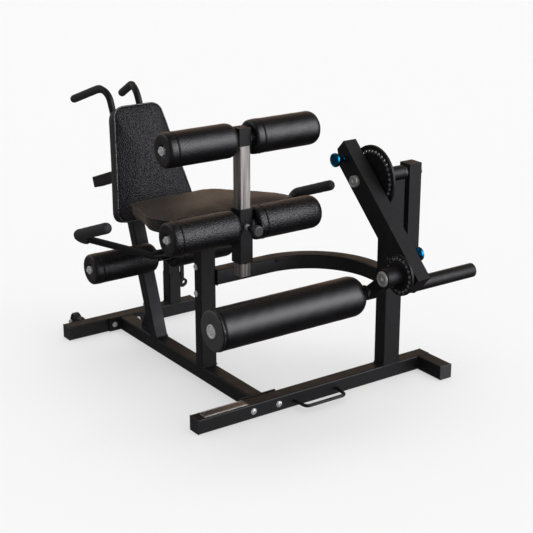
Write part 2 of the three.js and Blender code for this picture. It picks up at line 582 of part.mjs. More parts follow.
function backrest() {
  const { foot, head, height } = BACK;
  const outline = (inset) => {
    const shape = new THREE.Shape();
    const low = foot - inset;
    const high = head - inset;
    const { foot: bottomRound, head: topRound } = BACK_ROUNDING;
    const side = (h) => low + (high - low) * (h / height);
    shape.moveTo(-low + bottomRound, inset);
    shape.lineTo(low - bottomRound, inset);
    shape.quadraticCurveTo(low, inset, side(bottomRound), inset + bottomRound);
    shape.lineTo(side(height - topRound), height - inset - topRound);
    shape.quadraticCurveTo(high, height - inset, high - topRound, height - inset);
    shape.lineTo(-high + topRound, height - inset);
    shape.quadraticCurveTo(-high, height - inset, -side(height - topRound), height - inset - topRound);
    shape.lineTo(-side(bottomRound), inset + bottomRound);
    shape.quadraticCurveTo(-low, inset, -low + bottomRound, inset);
    return shape;
  };
  // Layers are extruded out of the pad's plane and then leaned back with the post.
  const layer = (inset, front, thick) => {
    const slab = new THREE.ExtrudeGeometry(outline(inset), {
      depth: thick, bevelEnabled: false, curveSegments: 5,
    });
    slab.rotateX(Math.PI / 2);
    slab.translate(0, -front, 0);
    return leaning(slab, backOrigin);
  };
  add('backrest_pad', layer(0, 0, BACK.thick), LEATHER);

  // Points behind the pad, from its foot: a rise along the pad and a depth behind its front face.
  const at = (rise, depth) => backOrigin.clone().addScaledVector(up, rise).addScaledVector(ahead, -depth);
  const behind = BACK.thick + BACK.board + GAP;
  const rise = sleeveCentre.clone().sub(backOrigin).dot(up);
  const sleeveDepth = -sleeveCentre.clone().sub(backOrigin).dot(ahead);
  const { size, tail, sleeveHalf, holePitch } = BACK_SLIDE;
  const slide = rectTube(at(rise, sleeveDepth + tail).toArray(), at(rise, behind - 1).toArray(),
    [1, 0, 0], size, size);
  const holes = [-2, -1, 0, 1, 2, 3].map((i) => {
    const hole = new THREE.CylinderGeometry(PIN_RADIUS + 0.5, PIN_RADIUS + 0.5, 12, 16);
    const spot = at(rise, sleeveDepth + i * holePitch);
    return hole.rotateZ(Math.PI / 2).translate(spot.x + size / 2, spot.y, spot.z);
  });
  add('backrest_carriage', cut(join(slide, layer(10, BACK.thick + GAP, BACK.board)), ...holes), STEEL_DARK);

  const sleeve = rectTube(at(rise, sleeveDepth + sleeveHalf).toArray(),
    at(rise, sleeveDepth - sleeveHalf).toArray(), [1, 0, 0], BEAM, BEAM, (BEAM - SLEEVE.bore) / 2);
  const pinHole = new THREE.CylinderGeometry(PIN_RADIUS + 0.3, PIN_RADIUS + 0.3, 20, 16);
  pinHole.rotateZ(Math.PI / 2).translate(SEAT_X + BEAM / 2, sleeveCentre.y, sleeveCentre.z);
  add('backrest_sleeve', cut(sleeve, pinHole), STEEL_DARK);

  const pin = pullKnob(PIN_DEPTH + GAP, LONG_KNOB);
  pin.rotateZ(Math.PI / 2);
  pin.translate(SEAT_X + BEAM / 2 - PIN_DEPTH, sleeveCentre.y, sleeveCentre.z);
  add('backrest_pin', pin, PLASTIC);

  // Two bent handles stand behind the top of the backrest and reach back past it.
  for (const [side, sign] of [['left', -1], ['right', 1]]) {
    const route = TOP_HANDLE.route.map(([half, height, depth]) => (
      at(height, depth).setX(SEAT_X + sign * half).toArray()));
    add(`top_handle_${side}`, bentRod(route, TOP_HANDLE.bend, TOP_HANDLE.radius), STEEL_DARK);
  }
}

// ---------------------------------------------------------------- weight arm and lever
const down = new THREE.Vector3(0, -Math.sin(LEVER.tilt), -Math.cos(LEVER.tilt)); // down the lever
const pivotPoint = new THREE.Vector3(0, PIVOT.y, PIVOT.z);
const hubPoint = pivotPoint.clone().addScaledVector(down, HUB_DOWN);

function weightArm() {
  const axle = AXLE_RADIUS;
  add('main_axle', turned([
    [602, 0], [602, 16], [605, 19], [617.5, 19], [617.5, axle], [810.3, axle], [810.3, 18], [819.6, 18],
    [819.6, axle], [870.5, axle], [870.5, 20], [878, 20], [878, 0],
  ], PIVOT.y, PIVOT.z, 20), ZINC);
  add('start_disc', indexDisc({ ...START_DISC, lean: Math.PI / 2 - LEVER.tilt }, [668.6, 684.5], 26,
    axle + GAP, PIVOT.y, PIVOT.z), STEEL_DARK);

  const outer = block(WEIGHT_ARM_X, [0, BEAM], [HORN.z, WEIGHT_ARM_TOP]);
  const hollow = block([WEIGHT_ARM_X[0] + WALL, WEIGHT_ARM_X[1] - WALL], [WALL, BEAM - WALL],
    [HORN.z + 34, WEIGHT_ARM_TOP - WALL]);
  add('weight_arm', cut(outer, hollow, rod(800, 900, axle + GAP, PIVOT.y, PIVOT.z),
    rod(790, 900, HORN.radius + GAP, PIVOT.y, HORN.z, 48)), STEEL_DARK);
  const left = WEIGHT_ARM_X[0] - 4;
  const { radius, right } = HORN;
  const inner = radius - 4;
  add('weight_horn', turned([
    [left, inner], [left, radius], [right - 3, radius], [right, radius - 3],
    [right, 0], [right - 5, 0], [right - 5, inner], [left, inner],
  ], PIVOT.y, HORN.z, 24), STEEL_DARK);
}

// A shape in the lever's own plane: points are [along the lever, across it towards the rear].
function leverPlate(points, x) {
  const shape = new THREE.Shape(points.map(([along, across]) => new THREE.Vector2(along, across)));
  const slab = new THREE.ExtrudeGeometry(shape, { depth: x[1] - x[0], bevelEnabled: false });
  const rear = new THREE.Vector3(0, Math.cos(LEVER.tilt), -Math.sin(LEVER.tilt));
  const out = new THREE.Vector3(1, 0, 0);
  slab.applyMatrix4(new THREE.Matrix4().makeBasis(down, rear, out).setPosition(pivotPoint));
  return slab.translate(x[0], 0, 0);
}

// A pull pin through the lever; its knob stands off the face at faceX, on the side towards.
function pinAlongX(name, tip, point, towards, faceX) {
  const pin = pullKnob(Math.abs(faceX - tip) + GAP, FLARED_KNOB);
  pin.rotateZ(towards > 0 ? Math.PI / 2 : -Math.PI / 2);
  add(name, pin.translate(tip, point.y, point.z), BLUE);
}

function lever() {
  const half = LEVER.depth / 2;
  const { above, below, x } = LEVER;
  const outline = [[-above, -half], [below, -half], [below, half], [-above + 45, half], [-above, half - 30]];
  const inner = half - WALL;
  const hollow = [-above + 52, below - WALL];
  const cavity = [[hollow[0], -inner], [hollow[1], -inner], [hollow[1], inner], [hollow[0], inner]];
  const upperPin = pivotPoint.clone().addScaledVector(down, -START_DISC.holeCircle);
  const lowerPin = pivotPoint.clone().addScaledVector(down, HUB_DOWN - ROLLER_DISC.holeCircle);
  add('lever', cut(
    leverPlate(outline, x),
    leverPlate(cavity, [x[0] + WALL, x[1] - WALL]),
    rod(600, 690, AXLE_RADIUS + RUN, PIVOT.y, PIVOT.z, 24),
    rod(600, 690, ROD + GAP, hubPoint.y, hubPoint.z),
    rod(600, 690, PIN_RADIUS + 0.2, upperPin.y, upperPin.z, 16),
    rod(600, 690, PIN_RADIUS + 0.2, lowerPin.y, lowerPin.z, 16),
  ), STEEL_DARK);
  pinAlongX('start_pin', START_DISC.x[0] - GAP, upperPin, -1, x[0]);
  pinAlongX('roller_pin', ROLLER_DISC.x[1] + GAP, lowerPin, 1, x[1]);
}

// ---------------------------------------------------------------- roller arm
function rollerArm() {
  const washer = 24;
  add('roller_hub', turned([
    [521, 0], [521, washer - 3], [524, washer], [HUB.x[0], washer], [HUB.x[0], HUB.radius],
    [HUB.x[1], HUB.radius], [HUB.x[1], ROD], [668.6, ROD], [668.6, 20], [675, 20], [675, 0],
  ], hubPoint.y, hubPoint.z, 20), STEEL_DARK);
  add('roller_disc', indexDisc({ ...ROLLER_DISC, lean: Math.PI / 2 - LEVER.tilt }, [597.5, 617.4], 22,
    ROD + GAP, hubPoint.y, hubPoint.z), STEEL_DARK);

  const shin = new THREE.Vector3(0, SHIN.y, SHIN.z);
  const along = shin.clone().sub(hubPoint).setX(0).normalize();
  const midX = (ARM_X[0] + ARM_X[1]) / 2;
  const start = hubPoint.clone().addScaledVector(along, 8).setX(midX);
  const end = shin.clone().addScaledVector(along, 22).setX(midX);
  const bar = rectTube(start.toArray(), end.toArray(), [1, 0, 0], 40, 40, 5);
  add('roller_arm', cut(bar, rod(500, 620, HUB.radius + GAP, hubPoint.y, hubPoint.z, 36),
    rod(500, 620, ROD + GAP, SHIN.y, SHIN.z)), STEEL_DARK);

  const left = SHIN.x[0] - 6;
  add('roller_shaft', turned([
    [left, 0], [left, 25.5], [left + 5, 25.5], [left + 5, ROD], [504, ROD], [504, 24], [512, 24], [512, 19],
    [519, 19], [519, 24], [529, 24], [529, ROD], [584, ROD], [584, 0],
  ], SHIN.y, SHIN.z, 20), ZINC);
  roller('shin_roller', SHIN.x, SHIN.radius, SHIN.y, SHIN.z, 30);
}

// ---------------------------------------------------------------- rear accessory socket
function accessorySocket() {
  const x = [447, 497];
  const mid = [(x[0] + x[1]) / 2, REAR_Y + BEAM / 2];
  // A socket tube, open at the foot, with a narrower post standing in it and an eye plate.
  const socket = rectTube([mid[0], mid[1], BEAM + GAP], [mid[0], mid[1], 170], [1, 0, 0]);
  const post = block([mid[0] - 22.5, mid[0] + 22.5], [mid[1] - 22.5, mid[1] + 22.5], [120, 262]);
  const ear = block([mid[0] + 20, mid[0] + 52], [mid[1] - 5, mid[1] + 5], [196, 262]);
  const drop = block([mid[0] + 40, mid[0] + 52], [mid[1] - 5, mid[1] + 5], [100, 200]);
  const eye = new THREE.CylinderGeometry(16, 16, 10, 24).translate(mid[0] + 50, mid[1], 118);
  const hole = new THREE.CylinderGeometry(7, 7, 30, 20).translate(mid[0] + 52, mid[1], 118);
  add('accessory_post', cut(join(socket, post, ear, drop, eye), hole), STEEL_DARK);
}

floorFrame();
transportWheel('left', 98);
transportWheel('right', mirrored(98));
uprights();
seat();
fixedRollers();
sideHandles();
thighHold();
backrest();
weightArm();
lever();
rollerArm();
accessorySocket();

const bounds = new THREE.Box3().setFromObject(model);
const centre = bounds.getCenter(new THREE.Vector3());
model.position.set(-centre.x, -centre.y, -bounds.min.z);
model.updateMatrixWorld(true);

export default model;
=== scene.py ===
"""Looks of a plate-loaded leg extension machine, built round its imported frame.

Metres, +Z up. The user sits facing -Y, and +X is the user's left, where the plates are loaded.
Upholstery is simulated as stuffed cloth, round steelwork is turned and swept again with finer
sides, and the flat steelwork is the frame's own, with softened edges and better finishes.
"""
import json
import math

import bmesh
import bpy
import numpy as np
from mathutils import Matrix, Vector


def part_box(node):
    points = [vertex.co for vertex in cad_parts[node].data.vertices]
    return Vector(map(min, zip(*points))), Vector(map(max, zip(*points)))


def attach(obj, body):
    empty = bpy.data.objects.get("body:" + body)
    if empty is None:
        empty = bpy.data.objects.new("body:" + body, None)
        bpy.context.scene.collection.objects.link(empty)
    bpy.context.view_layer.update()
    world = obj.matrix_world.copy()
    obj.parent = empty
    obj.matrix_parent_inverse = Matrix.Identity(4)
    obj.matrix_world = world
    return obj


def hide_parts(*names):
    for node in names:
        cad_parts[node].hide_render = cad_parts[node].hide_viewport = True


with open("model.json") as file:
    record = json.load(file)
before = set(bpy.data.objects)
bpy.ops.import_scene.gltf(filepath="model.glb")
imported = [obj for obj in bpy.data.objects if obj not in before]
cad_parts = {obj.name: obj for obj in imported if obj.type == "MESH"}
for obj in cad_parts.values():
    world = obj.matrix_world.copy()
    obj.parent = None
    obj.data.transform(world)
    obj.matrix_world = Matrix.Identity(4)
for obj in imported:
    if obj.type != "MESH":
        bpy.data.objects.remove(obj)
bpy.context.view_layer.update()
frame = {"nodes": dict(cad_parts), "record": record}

# ---------------- the working frame
MM = 0.001
# Millimetres from the front cross beam's left end, its front face and the floor, as in the CAD.
ORIGIN = Vector((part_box("front_left_cap")[0].x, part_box("front_crossbeam")[0].y, 0))
X, Y, Z = Vector((1, 0, 0)), Vector((0, 1, 0)), Vector((0, 0, 1))
SEAT_X = 255  # middle plane of the seat, the pads and the rollers
BEAM = 50
REAR_LEAN = math.radians(20)
LEVER_TILT = math.radians(46.4)
UP = Vector((0, math.sin(REAR_LEAN), math.cos(REAR_LEAN)))  # along the rear post
AHEAD = Vector((0, -math.cos(REAR_LEAN), math.sin(REAR_LEAN)))  # out of the backrest
TURN = 2 * math.pi


def at(x, y, z):
    return ORIGIN + Vector((x, y, z)) * MM


def middle(node):
    low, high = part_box(node)
    return (low + high) / 2


def cylinder(node):
    """The left end of a node's axis along X, its length and its radius."""
    low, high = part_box(node)
    centre = middle(node)
    return Vector((low.x, centre.y, centre.z)), high.x - low.x, (high.z - low.z) / 2


def on_axis(node, x=0):
    """The point at x, in working millimetres, on the line along X through a node's middle."""
    centre = middle(node)
    return Vector((ORIGIN.x + x * MM, centre.y, centre.z))


# ---------------- materials
class Nodes:
    """Short calls that build a node tree."""

    def __init__(self, tree):
        self.tree = tree

    def node(self, kind, settings=None, **inputs):
        """Adds a node. An input goes by its name, or by its number after an underscore."""
        made = self.tree.nodes.new(kind)
        for key, value in (settings or {}).items():
            setattr(made, key, value)
        for key, value in inputs.items():
            self.feed(made.inputs[int(key[1:]) if key[0] == "_" else key.replace("_", " ")], value)
        return made

    def feed(self, socket, value):
        if isinstance(value, bpy.types.NodeSocket):
            self.tree.links.new(value, socket)
        else:
            socket.default_value = value

    def maths(self, operation, a, b):
        return self.node("ShaderNodeMath", {"operation": operation}, _0=a, _1=b).outputs["Value"]


class Finish(Nodes):
    """A material whose colour, roughness and relief come from procedural fields. Colours are linear."""

    def __init__(self, name, **sockets):
        self.material = bpy.data.materials.new(name)
        self.material.use_nodes = True
        super().__init__(self.material.node_tree)
        self.shader = self.tree.nodes["Principled BSDF"]
        self.place = self.node("ShaderNodeTexCoord").outputs["Object"]
        for socket, value in sockets.items():
            self.shader.inputs[socket.replace("_", " ")].default_value = value

    def stretched(self, scale):
        return self.node("ShaderNodeMapping", Vector=self.place, Scale=scale).outputs["Vector"]

    def noise(self, scale, detail, where=None):
        made = self.node("ShaderNodeTexNoise", Vector=where or self.place, Scale=scale, Detail=detail)
        return made.outputs["Fac"]

    def cells(self, scale, where=None, feature="F1"):
        made = self.node("ShaderNodeTexVoronoi", {"feature": feature}, Vector=where or self.place,
                         Scale=scale)
        return made.outputs["Distance"]

    def spread(self, value, low, high, start=0.0, end=1.0):
        made = self.node("ShaderNodeMapRange", Value=value, From_Min=low, From_Max=high, To_Min=start,
                         To_Max=end)
        return made.outputs["Result"]

    def blend(self, share, *colours):
        a, b = ((*c, 1) if isinstance(c, tuple) else c for c in colours)
        return self.node("ShaderNodeMix", {"data_type": "RGBA"}, Factor=share, _6=a, _7=b).outputs[2]

    def colour(self, value):
        self.feed(self.shader.inputs["Base Color"], value)

    def rough(self, value):
        self.feed(self.shader.inputs["Roughness"], value)

    def relief(self, height, distance, strength):
        made = self.node("ShaderNodeBump", Height=height, Distance=distance, Strength=strength)
        self.feed(self.shader.inputs["Normal"], made.outputs["Normal"])

    def surface(self, field, tones, gloss, height, distance, strength):
        """Colour and roughness from one field and relief from another."""
        self.colour(self.blend(field, *tones))
        self.rough(self.spread(field, 0.3, 0.7, *gloss))
        self.relief(height, distance, strength)
        return self.material


def powder_coat(name):
    """Matt black powder coat: a fine texture, cloudy gloss and a little dust."""
    tone = 0.0055
    coat = Finish(name, Specular_IOR_Level=0.20)
    clouds = coat.noise(9, 4)
    dust = coat.spread(coat.noise(55, 6), 0.52, 0.80, 0.0, 0.55)
    dark = coat.blend(clouds, (tone * 0.8,) * 3, (tone * 1.2, tone * 1.2, tone * 1.3))
    coat.colour(coat.blend(dust, dark, (tone * 2.6, tone * 2.5, tone * 2.4)))
    coat.rough(coat.spread(coat.noise(30, 5), 0.3, 0.7, 0.38, 0.50))
    coat.relief(coat.maths("ADD", coat.cells(620), coat.noise(1500, 2)), 0.00016, 0.45)
    return coat.material


def leather(name, cell, depth, gloss, shine=0.32, warm_sheen=0.0):
    """Black leatherette with a pebble grain: soft cells, fine pores and slightly rubbed patches.

    cell is the width of a pebble, depth its relief, shine the specular level, and the last argument the
    weight of a brown sheen: a painted warm reflection."""
    # The brown sheen tint is a painted warm reflection, as of a brown room, seen at grazing angles.
    hide = Finish(name, Specular_IOR_Level=shine, Sheen_Weight=warm_sheen, Sheen_Roughness=0.35,
                  Sheen_Tint=(0.75, 0.56, 0.42, 1))
    wander = hide.node("ShaderNodeTexNoise", Vector=hide.place, Scale=0.45 / cell, Detail=2.0)
    warp = hide.node("ShaderNodeVectorMath", {"operation": "MULTIPLY_ADD"},
                     _0=wander.outputs["Color"], _1=(cell * 1.4,) * 3, _2=hide.place)
    pebble = hide.cells(1 / cell, warp.outputs["Vector"], "SMOOTH_F1")
    pores = hide.noise(1.9 / cell, 3)
    patches = hide.noise(16, 4)
    clean = (0.0036, 0.0036, 0.0043)
    dark, rubbed = (tuple(c * share for c in clean) for share in (0.45, 1.6))
    # Darker in the valleys between the pebbles: painted shade in the grain's creases.
    shade = hide.blend(hide.spread(pebble, 0.2, 0.75), clean, dark)
    hide.colour(hide.blend(hide.spread(patches, 0.45, 0.75, 0, 0.6), shade, rubbed))
    grain = hide.maths("ADD", pebble, pores)
    hide.rough(hide.maths("ADD", hide.spread(grain, 0.5, 1.4, gloss - 0.06, gloss + 0.14),
                          hide.spread(patches, 0.3, 0.7, -0.03, 0.04)))
    domes = hide.maths("SUBTRACT", hide.maths("MULTIPLY", pores, 0.35), pebble)
    hide.relief(domes, depth, 0.9)
    return hide.material


def bare_steel(name):
    """Brushed, clear-lacquered steel with the brush marks along Z."""
    steel = Finish(name, Metallic=1.0)
    marks = steel.noise(210, 5, steel.stretched((1.0, 1.0, 0.025)))
    cloud = steel.noise(14, 3)
    tone = steel.blend(steel.spread(marks, 0.36, 0.64), (0.13, 0.12, 0.11), (0.36, 0.34, 0.32))
    steel.colour(steel.blend(steel.spread(cloud, 0.35, 0.75, 0, 0.35), tone, (0.20, 0.185, 0.165)))
    steel.rough(steel.spread(marks, 0.3, 0.7, 0.34, 0.48))
    steel.relief(marks, 0.00020, 0.7)
    return steel.material


def zinc(name, tone=(0.62, 0.62, 0.63)):
    """Bright zinc plate with its faint crystals and handling marks."""
    plate = Finish(name, Metallic=0.55)
    spangle = plate.cells(240)
    marks = plate.noise(420, 5)
    shade = plate.blend(spangle, tone, tuple(t * 0.62 for t in tone))
    stain = tuple(t * 0.45 for t in tone)
    plate.colour(plate.blend(plate.spread(marks, 0.5, 0.8, 0, 0.5), shade, stain))
    plate.rough(plate.spread(marks, 0.3, 0.7, 0.34, 0.52))
    plate.relief(marks, 0.00008, 0.4)
    return plate.material


def anodised(name):
    """Blue anodised aluminium with the turning marks left under the colour."""
    skin = Finish(name, Metallic=1.0)
    marks = skin.noise(900, 2, skin.stretched((1.0, 0.15, 0.15)))
    tones = (0.002, 0.075, 0.17), (0.006, 0.16, 0.31)
    return skin.surface(marks, tones, (0.20, 0.32), marks, 0.00006, 0.4)


def foam(name):
    """Closed-cell foam: matt black, finely pitted."""
    sponge = Finish(name, Specular_IOR_Level=0.35)
    pits = sponge.maths("ADD", sponge.cells(900), sponge.noise(240, 3))
    tones = (0.008, 0.008, 0.0085), (0.016, 0.016, 0.0165)
    return sponge.surface(sponge.noise(60, 4), tones, (0.66, 0.80), pits, 0.0004, 0.7)


def plastic(name, tone=0.008, rough=0.46):
    """Moulded plastic with spark-eroded texture."""
    shell = Finish(name, Specular_IOR_Level=0.5)
    tones = (tone * 0.85,) * 3, (tone * 1.2,) * 3
    return shell.surface(shell.noise(25, 3), tones, (rough - 0.05, rough + 0.06),
                         shell.noise(1100, 2), 0.00012, 0.6)


def thread(name):
    """Waxed black upholstery thread, twisted."""
    yarn = Finish(name, Sheen_Weight=0.3)
    twist = yarn.noise(1800, 2)
    return yarn.surface(twist, ((0.006, 0.006, 0.007), (0.030, 0.029, 0.028)), (0.45, 0.65),
                        twist, 0.0001, 0.6)


FINISH = {
    "frame_black": powder_coat("frame_black"),
    "bare_steel": bare_steel("bare_steel"),
    "zinc": zinc("zinc"),
    "blue_pin": anodised("blue_pin"),
    "pad_leather": leather("pad_leather", 0.0040, 0.0026, 0.33, 0.22),
    "grip_foam": foam("grip_foam"),
    "plastic_black": plastic("plastic_black"),
}
# The seat leather's brown sheen is a painted warm reflection on its top.
SEAT_LEATHER = leather("seat_leather", 0.0040, 0.0016, 0.38, 0.26, 0.12)
COARSE_LEATHER = leather("coarse_leather", 0.0034, 0.0014, 0.25)
FINE_LEATHER = leather("fine_leather", 0.0024, 0.0006, 0.25)
SATIN_LEATHER = leather("satin_leather", 0.0012, 0.00015, 0.26)
WELT_LEATHER = leather("welt_leather", 0.0060, 0.0016, 0.20, 0.75)
END_CAP = plastic("end_cap", 0.022, 0.50)
THREAD = thread("thread")
WORN_STEEL = zinc("worn_steel", (0.62, 0.62, 0.60))
DULL_ZINC = zinc("dull_zinc", (0.30, 0.295, 0.29))


# ---------------- mesh building
class Body:
    """Vertices and faces that grow shape by shape, in metres."""

    def __init__(self):
        self.points = []
        self.faces = []

    def take(self, points, faces):
        base = len(self.points)
        self.points += [Vector(p) for p in points]
        self.faces += [[base + i for i in face] for face in faces]
        return self

    def lathe(self, profile, origin, axis=X, sides=56):
        """Turns [along, radius] points about an axis; a radius of 0 is a pole."""
        side = axis.orthogonal().normalized()
        other = axis.cross(side)
        points, rings = [], []
        for along, radius in profile:
            ring = circle(radius, sides) if radius else [(0, 0)]
            rings.append(list(range(len(points), len(points) + len(ring))))
            points += [origin + axis * along + side * a + other * b for a, b in ring]
        if profile[0] == profile[-1] and len(rings[0]) > 1:
            points = points[:-sides]
            rings[-1] = rings[0]
        faces = []
        for ring, after in zip(rings, rings[1:]):
            if len(ring) == len(after) == 1:
                continue  # both are poles
            for k in range(sides):
                near, far = ([r[j % len(r)] for j in (k, (k + 1) % sides)] for r in (ring, after))
                faces.append(list(dict.fromkeys(near + far[::-1])))  # a triangle at a pole
        return self.take(points, faces)

    def sweep(self, path, section, side=X, closed=False, swell=None):
        """Carries a closed section along a path. side is the section's first axis at the start."""
        count = len(path)
        points = []
        across = side
        for i, here in enumerate(path):
            before = path[i - 1] if closed or i else here
            after = path[(i + 1) % count] if closed or i < count - 1 else here
            along = (after - before).normalized()
            across = (across - along * across.dot(along)).normalized()
            other = along.cross(across)
            grow = swell(i) if swell else 1
            points += [here + (across * a + other * b) * grow for a, b in section]
        ring = len(section)
        faces = strips(count, ring, closed)
        if not closed:
            faces += [list(range(ring)), list(range((count - 1) * ring, count * ring))]
        return self.take(points, faces)

    def block(self, centre, size, axes):
        """A plate with softened edges, as a lofted rounded rectangle."""
        edge = 0.0012
        width, depth, height = size
        half = height / 2
        path = [centre + axes[2] * lift for lift in (-half, edge - half, half - edge, half)]
        section = rounded_rectangle(width, depth, edge * 1.6, 3)
        shrink = 1 - edge * 1.4 / min(width, depth)
        return self.sweep(path, section, axes[0], swell=lambda i: shrink if i in (0, 3) else 1)

    def mesh(self, name, sharp):
        made = bpy.data.meshes.new(name)
        made.from_pydata([tuple(p) for p in self.points], [], self.faces)
        outwards = bmesh.new()
        outwards.from_mesh(made)
        bmesh.ops.recalc_face_normals(outwards, faces=outwards.faces)
        outwards.to_mesh(made)
        outwards.free()
        made.shade_smooth()
        made.set_sharp_from_angle(angle=math.radians(sharp))
        return made


def strips(rings, count, closed=False):
    """The faces between rings of count points that follow one another."""
    faces = []
    for i in range(rings if closed else rings - 1):
        a, b = i * count, (i + 1) % rings * count
        faces += [[a + k, a + (k + 1) % count, b + (k + 1) % count, b + k] for k in range(count)]
    return faces


def rounded_rectangle(width, depth, radius, steps):
    corners = [(1, 1, 0), (-1, 1, 1), (-1, -1, 2), (1, -1, 3)]
    points = []
    for sx, sy, quarter in corners:
        for k in range(steps + 1):
            angle = (quarter + k / steps) * math.pi / 2
            points.append((sx * (width / 2 - radius) + radius * math.cos(angle),
                           sy * (depth / 2 - radius) + radius * math.sin(angle)))
    return points


def circle(radius, sides):
    angles = [TURN * k / sides for k in range(sides)]
    return [(radius * math.cos(a), radius * math.sin(a)) for a in angles]


def loop(centre, radius, count):
    """Points round a circle whose axis is X."""
    return [centre + (Y * a + Z * b) * radius for a, b in circle(1, count)]


def soften(profile, radius, steps=3):
    """Rounds the corners of a profile: each becomes a curve that starts and ends on its sides."""
    points = [Vector(p) for p in profile]
    made = [tuple(points[0])]
    for before, here, after in zip(points, points[1:], points[2:]):
        back, ahead = before - here, after - here
        start = here + back.normalized() * min(radius, 0.45 * back.length)
        end = here + ahead.normalized() * min(radius, 0.45 * ahead.length)
        for k in range(steps + 1):
            t = k / steps
            made.append(tuple(start * (1 - t) ** 2 + here * 2 * t * (1 - t) + end * t * t))
    return made + [tuple(points[-1])]


def solid_rod(start, end, radius, round_off):
    """The profile of a plain rod, from its pole at one end to its pole at the other."""
    return soften([(start, 0), (start, radius), (end, radius), (end, 0)], round_off)


def hollow_rod(start, end, bore, radius):
    return [(start, bore), (start, radius), (end, radius), (end, bore), (start, bore)]


def bent(corners, radius, steps):
    """A path of straight runs whose corners are bent to a radius."""
    path = [corners[0]]
    for before, here, after in zip(corners, corners[1:], corners[2:]):
        back, ahead = (before - here).normalized(), (after - here).normalized()
        half = back.angle(ahead) / 2
        centre = here + (back + ahead).normalized() * radius / math.sin(half)
        first = here + back * radius / math.tan(half) - centre
        last = here + ahead * radius / math.tan(half) - centre
        normal = first.cross(last).normalized()
        for k in range(steps + 1):
            turn = Matrix.Rotation(first.angle(last) * k / steps, 3, normal)
            path.append(centre + turn @ first)
    return path + [corners[-1]]


def evenly(path, step, closed=False):
    """The path again with points a given distance apart."""
    ring = list(path) + ([path[0]] if closed else [])
    reach = np.cumsum([0] + [(b - a).length for a, b in zip(ring, ring[1:])])
    count = max(2, round(reach[-1] / step))
    stops = np.linspace(0, reach[-1], count + 1)[: count if closed else count + 1]
    table = np.array([tuple(p) for p in ring])
    return [Vector(p) for p in np.stack([np.interp(stops, reach, table[:, i]) for i in range(3)], 1)]


def add(name, data):
    made = bpy.data.objects.new(name, data)
    bpy.context.scene.collection.objects.link(made)
    return made


def piece(name, shape, body, slot, stands_for=(), finish=None, sharp=38):
    """A finished piece, of a Body or a mesh, that rides on a CAD body and may stand for its nodes."""
    made = add(name, shape.mesh(name, sharp) if isinstance(shape, Body) else shape)
    if not made.data.materials:
        made.data.materials.append(finish or FINISH[slot])
    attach(made, body)
    if stands_for:
        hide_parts(*stands_for)
    return made


def turned(name, node, profile, body, slot, round_off=1.0, sides=56, finish=None, stands=True):
    """A body of revolution on a node's axis, and by default in its place, in working millimetres."""
    outline = soften([(x * MM, r * MM) for x, r in profile], round_off * MM)
    shape = Body().lathe(outline, on_axis(node), X, sides)
    piece(name, shape, body, slot, [node] if stands else (), finish)


# ---------------- round steelwork
PIN_RADIUS = 0.0045
LONG_KNOB, FLARED_KNOB = 0.068, 0.042  # how far each kind stands off the face that it is fixed to
AXLE_RADIUS = 0.0125  # of the rollers' axles


def bolt_head(body, spot, axis, across=0.013, washer=0.010):
    """A zinc hexagon head on its washer; across is the width across the flats."""
    corner = across / math.sqrt(3)
    body.lathe(solid_rod(0, 0.0016, washer, 0.0004), spot, axis, 32)
    head = [(0.0014, 0), (0.0014, corner), (0.0066, corner), (0.0078, corner * 0.84), (0.0078, 0)]
    body.lathe(head, spot, axis, 6)
    return body


def button_head(body, spot, axis, radius=0.0085, height=0.005):
    """A domed cap screw with a socket in it, on a washer."""
    socket = radius * 0.42
    body.lathe(solid_rod(0, 0.0015, radius * 1.25, 0.0004), spot, axis, 32)
    rim = 0.0025
    dome = [(0.0013, 0), (0.0013, radius), (rim, radius)]
    for t in (0.25, 0.5, 0.75, 1):
        angle = t * math.pi / 2
        dome.append((rim + (height - rim) * math.sin(angle),
                     socket + (radius - socket) * math.cos(angle)))
    body.lathe(dome + [(0.0022, socket), (0.0022, 0)], spot, axis, 36)
    return body


def steel_pin(name, node, body, towards, knob):
    """A pull pin's steel part. Returns its tip, the face that its knob starts at, and its length."""
    low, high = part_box(node)
    length = abs((high - low).dot(towards))
    tip = (low + high) / 2 - towards * (length / 2)
    face = length - knob
    steel = Body().lathe(solid_rod(0, face + 0.004, PIN_RADIUS, 0.0006), tip, towards, 24)
    piece(name + "_pin", steel, body, "zinc")
    return tip, face, length


def pull_pin(name, node, body, towards):
    """A black spring plunger: hexagon base nut, stem and a knob that flares outwards."""
    tip, face, length = steel_pin(name, node, body, towards, LONG_KNOB)
    flats, chamfer = 0.0098, 0.0085
    nut = Body().lathe([(face, 0), (face, chamfer), (face + 0.001, flats), (face + 0.0085, flats),
                        (face + 0.0095, chamfer), (face + 0.0095, 0)], tip, towards, 6)
    nut.lathe(solid_rod(face + 0.009, face + 0.020, 0.0072, 0.0005), tip, towards, 32)
    piece(name + "_nut", nut, body, "zinc")
    flare = [(face + a, r) for a, r in ((0.0185, 0), (0.0185, 0.0105), (0.030, 0.0108), (0.040, 0.0130),
                                        (0.048, 0.0172), (0.053, 0.0194), (0.060, 0.0198))]
    flare += [(length - 0.0015, 0.0180), (length, 0.0140), (length - 0.0006, 0)]
    knob = Body().lathe(soften(flare, 0.0016, 4), tip, towards, 56)
    piece(name, knob, body, "plastic_black", [node], sharp=50)


def blue_knob(name, node, body, towards):
    """A blue anodised pull knob: one turned cone that flares from the lever's face."""
    tip, face, length = steel_pin(name, node, body, towards, FLARED_KNOB)
    cone = [(face + a, r) for a, r in ((0.0006, 0), (0.0006, 0.0105), (0.006, 0.0108), (0.007, 0.0096),
                                       (0.014, 0.0102), (0.020, 0.0128), (0.026, 0.0180), (0.031, 0.0222),
                                       (0.036, 0.0229))]
    cone += [(length - 0.0018, 0.0222), (length - 0.0002, 0.0185), (length - 0.0014, 0.0150),
             (length - 0.0012, 0)]
    knob = Body().lathe(soften(cone, 0.0016, 4), tip, towards, 64)
    piece(name, knob, body, "blue_pin", [node], sharp=50)


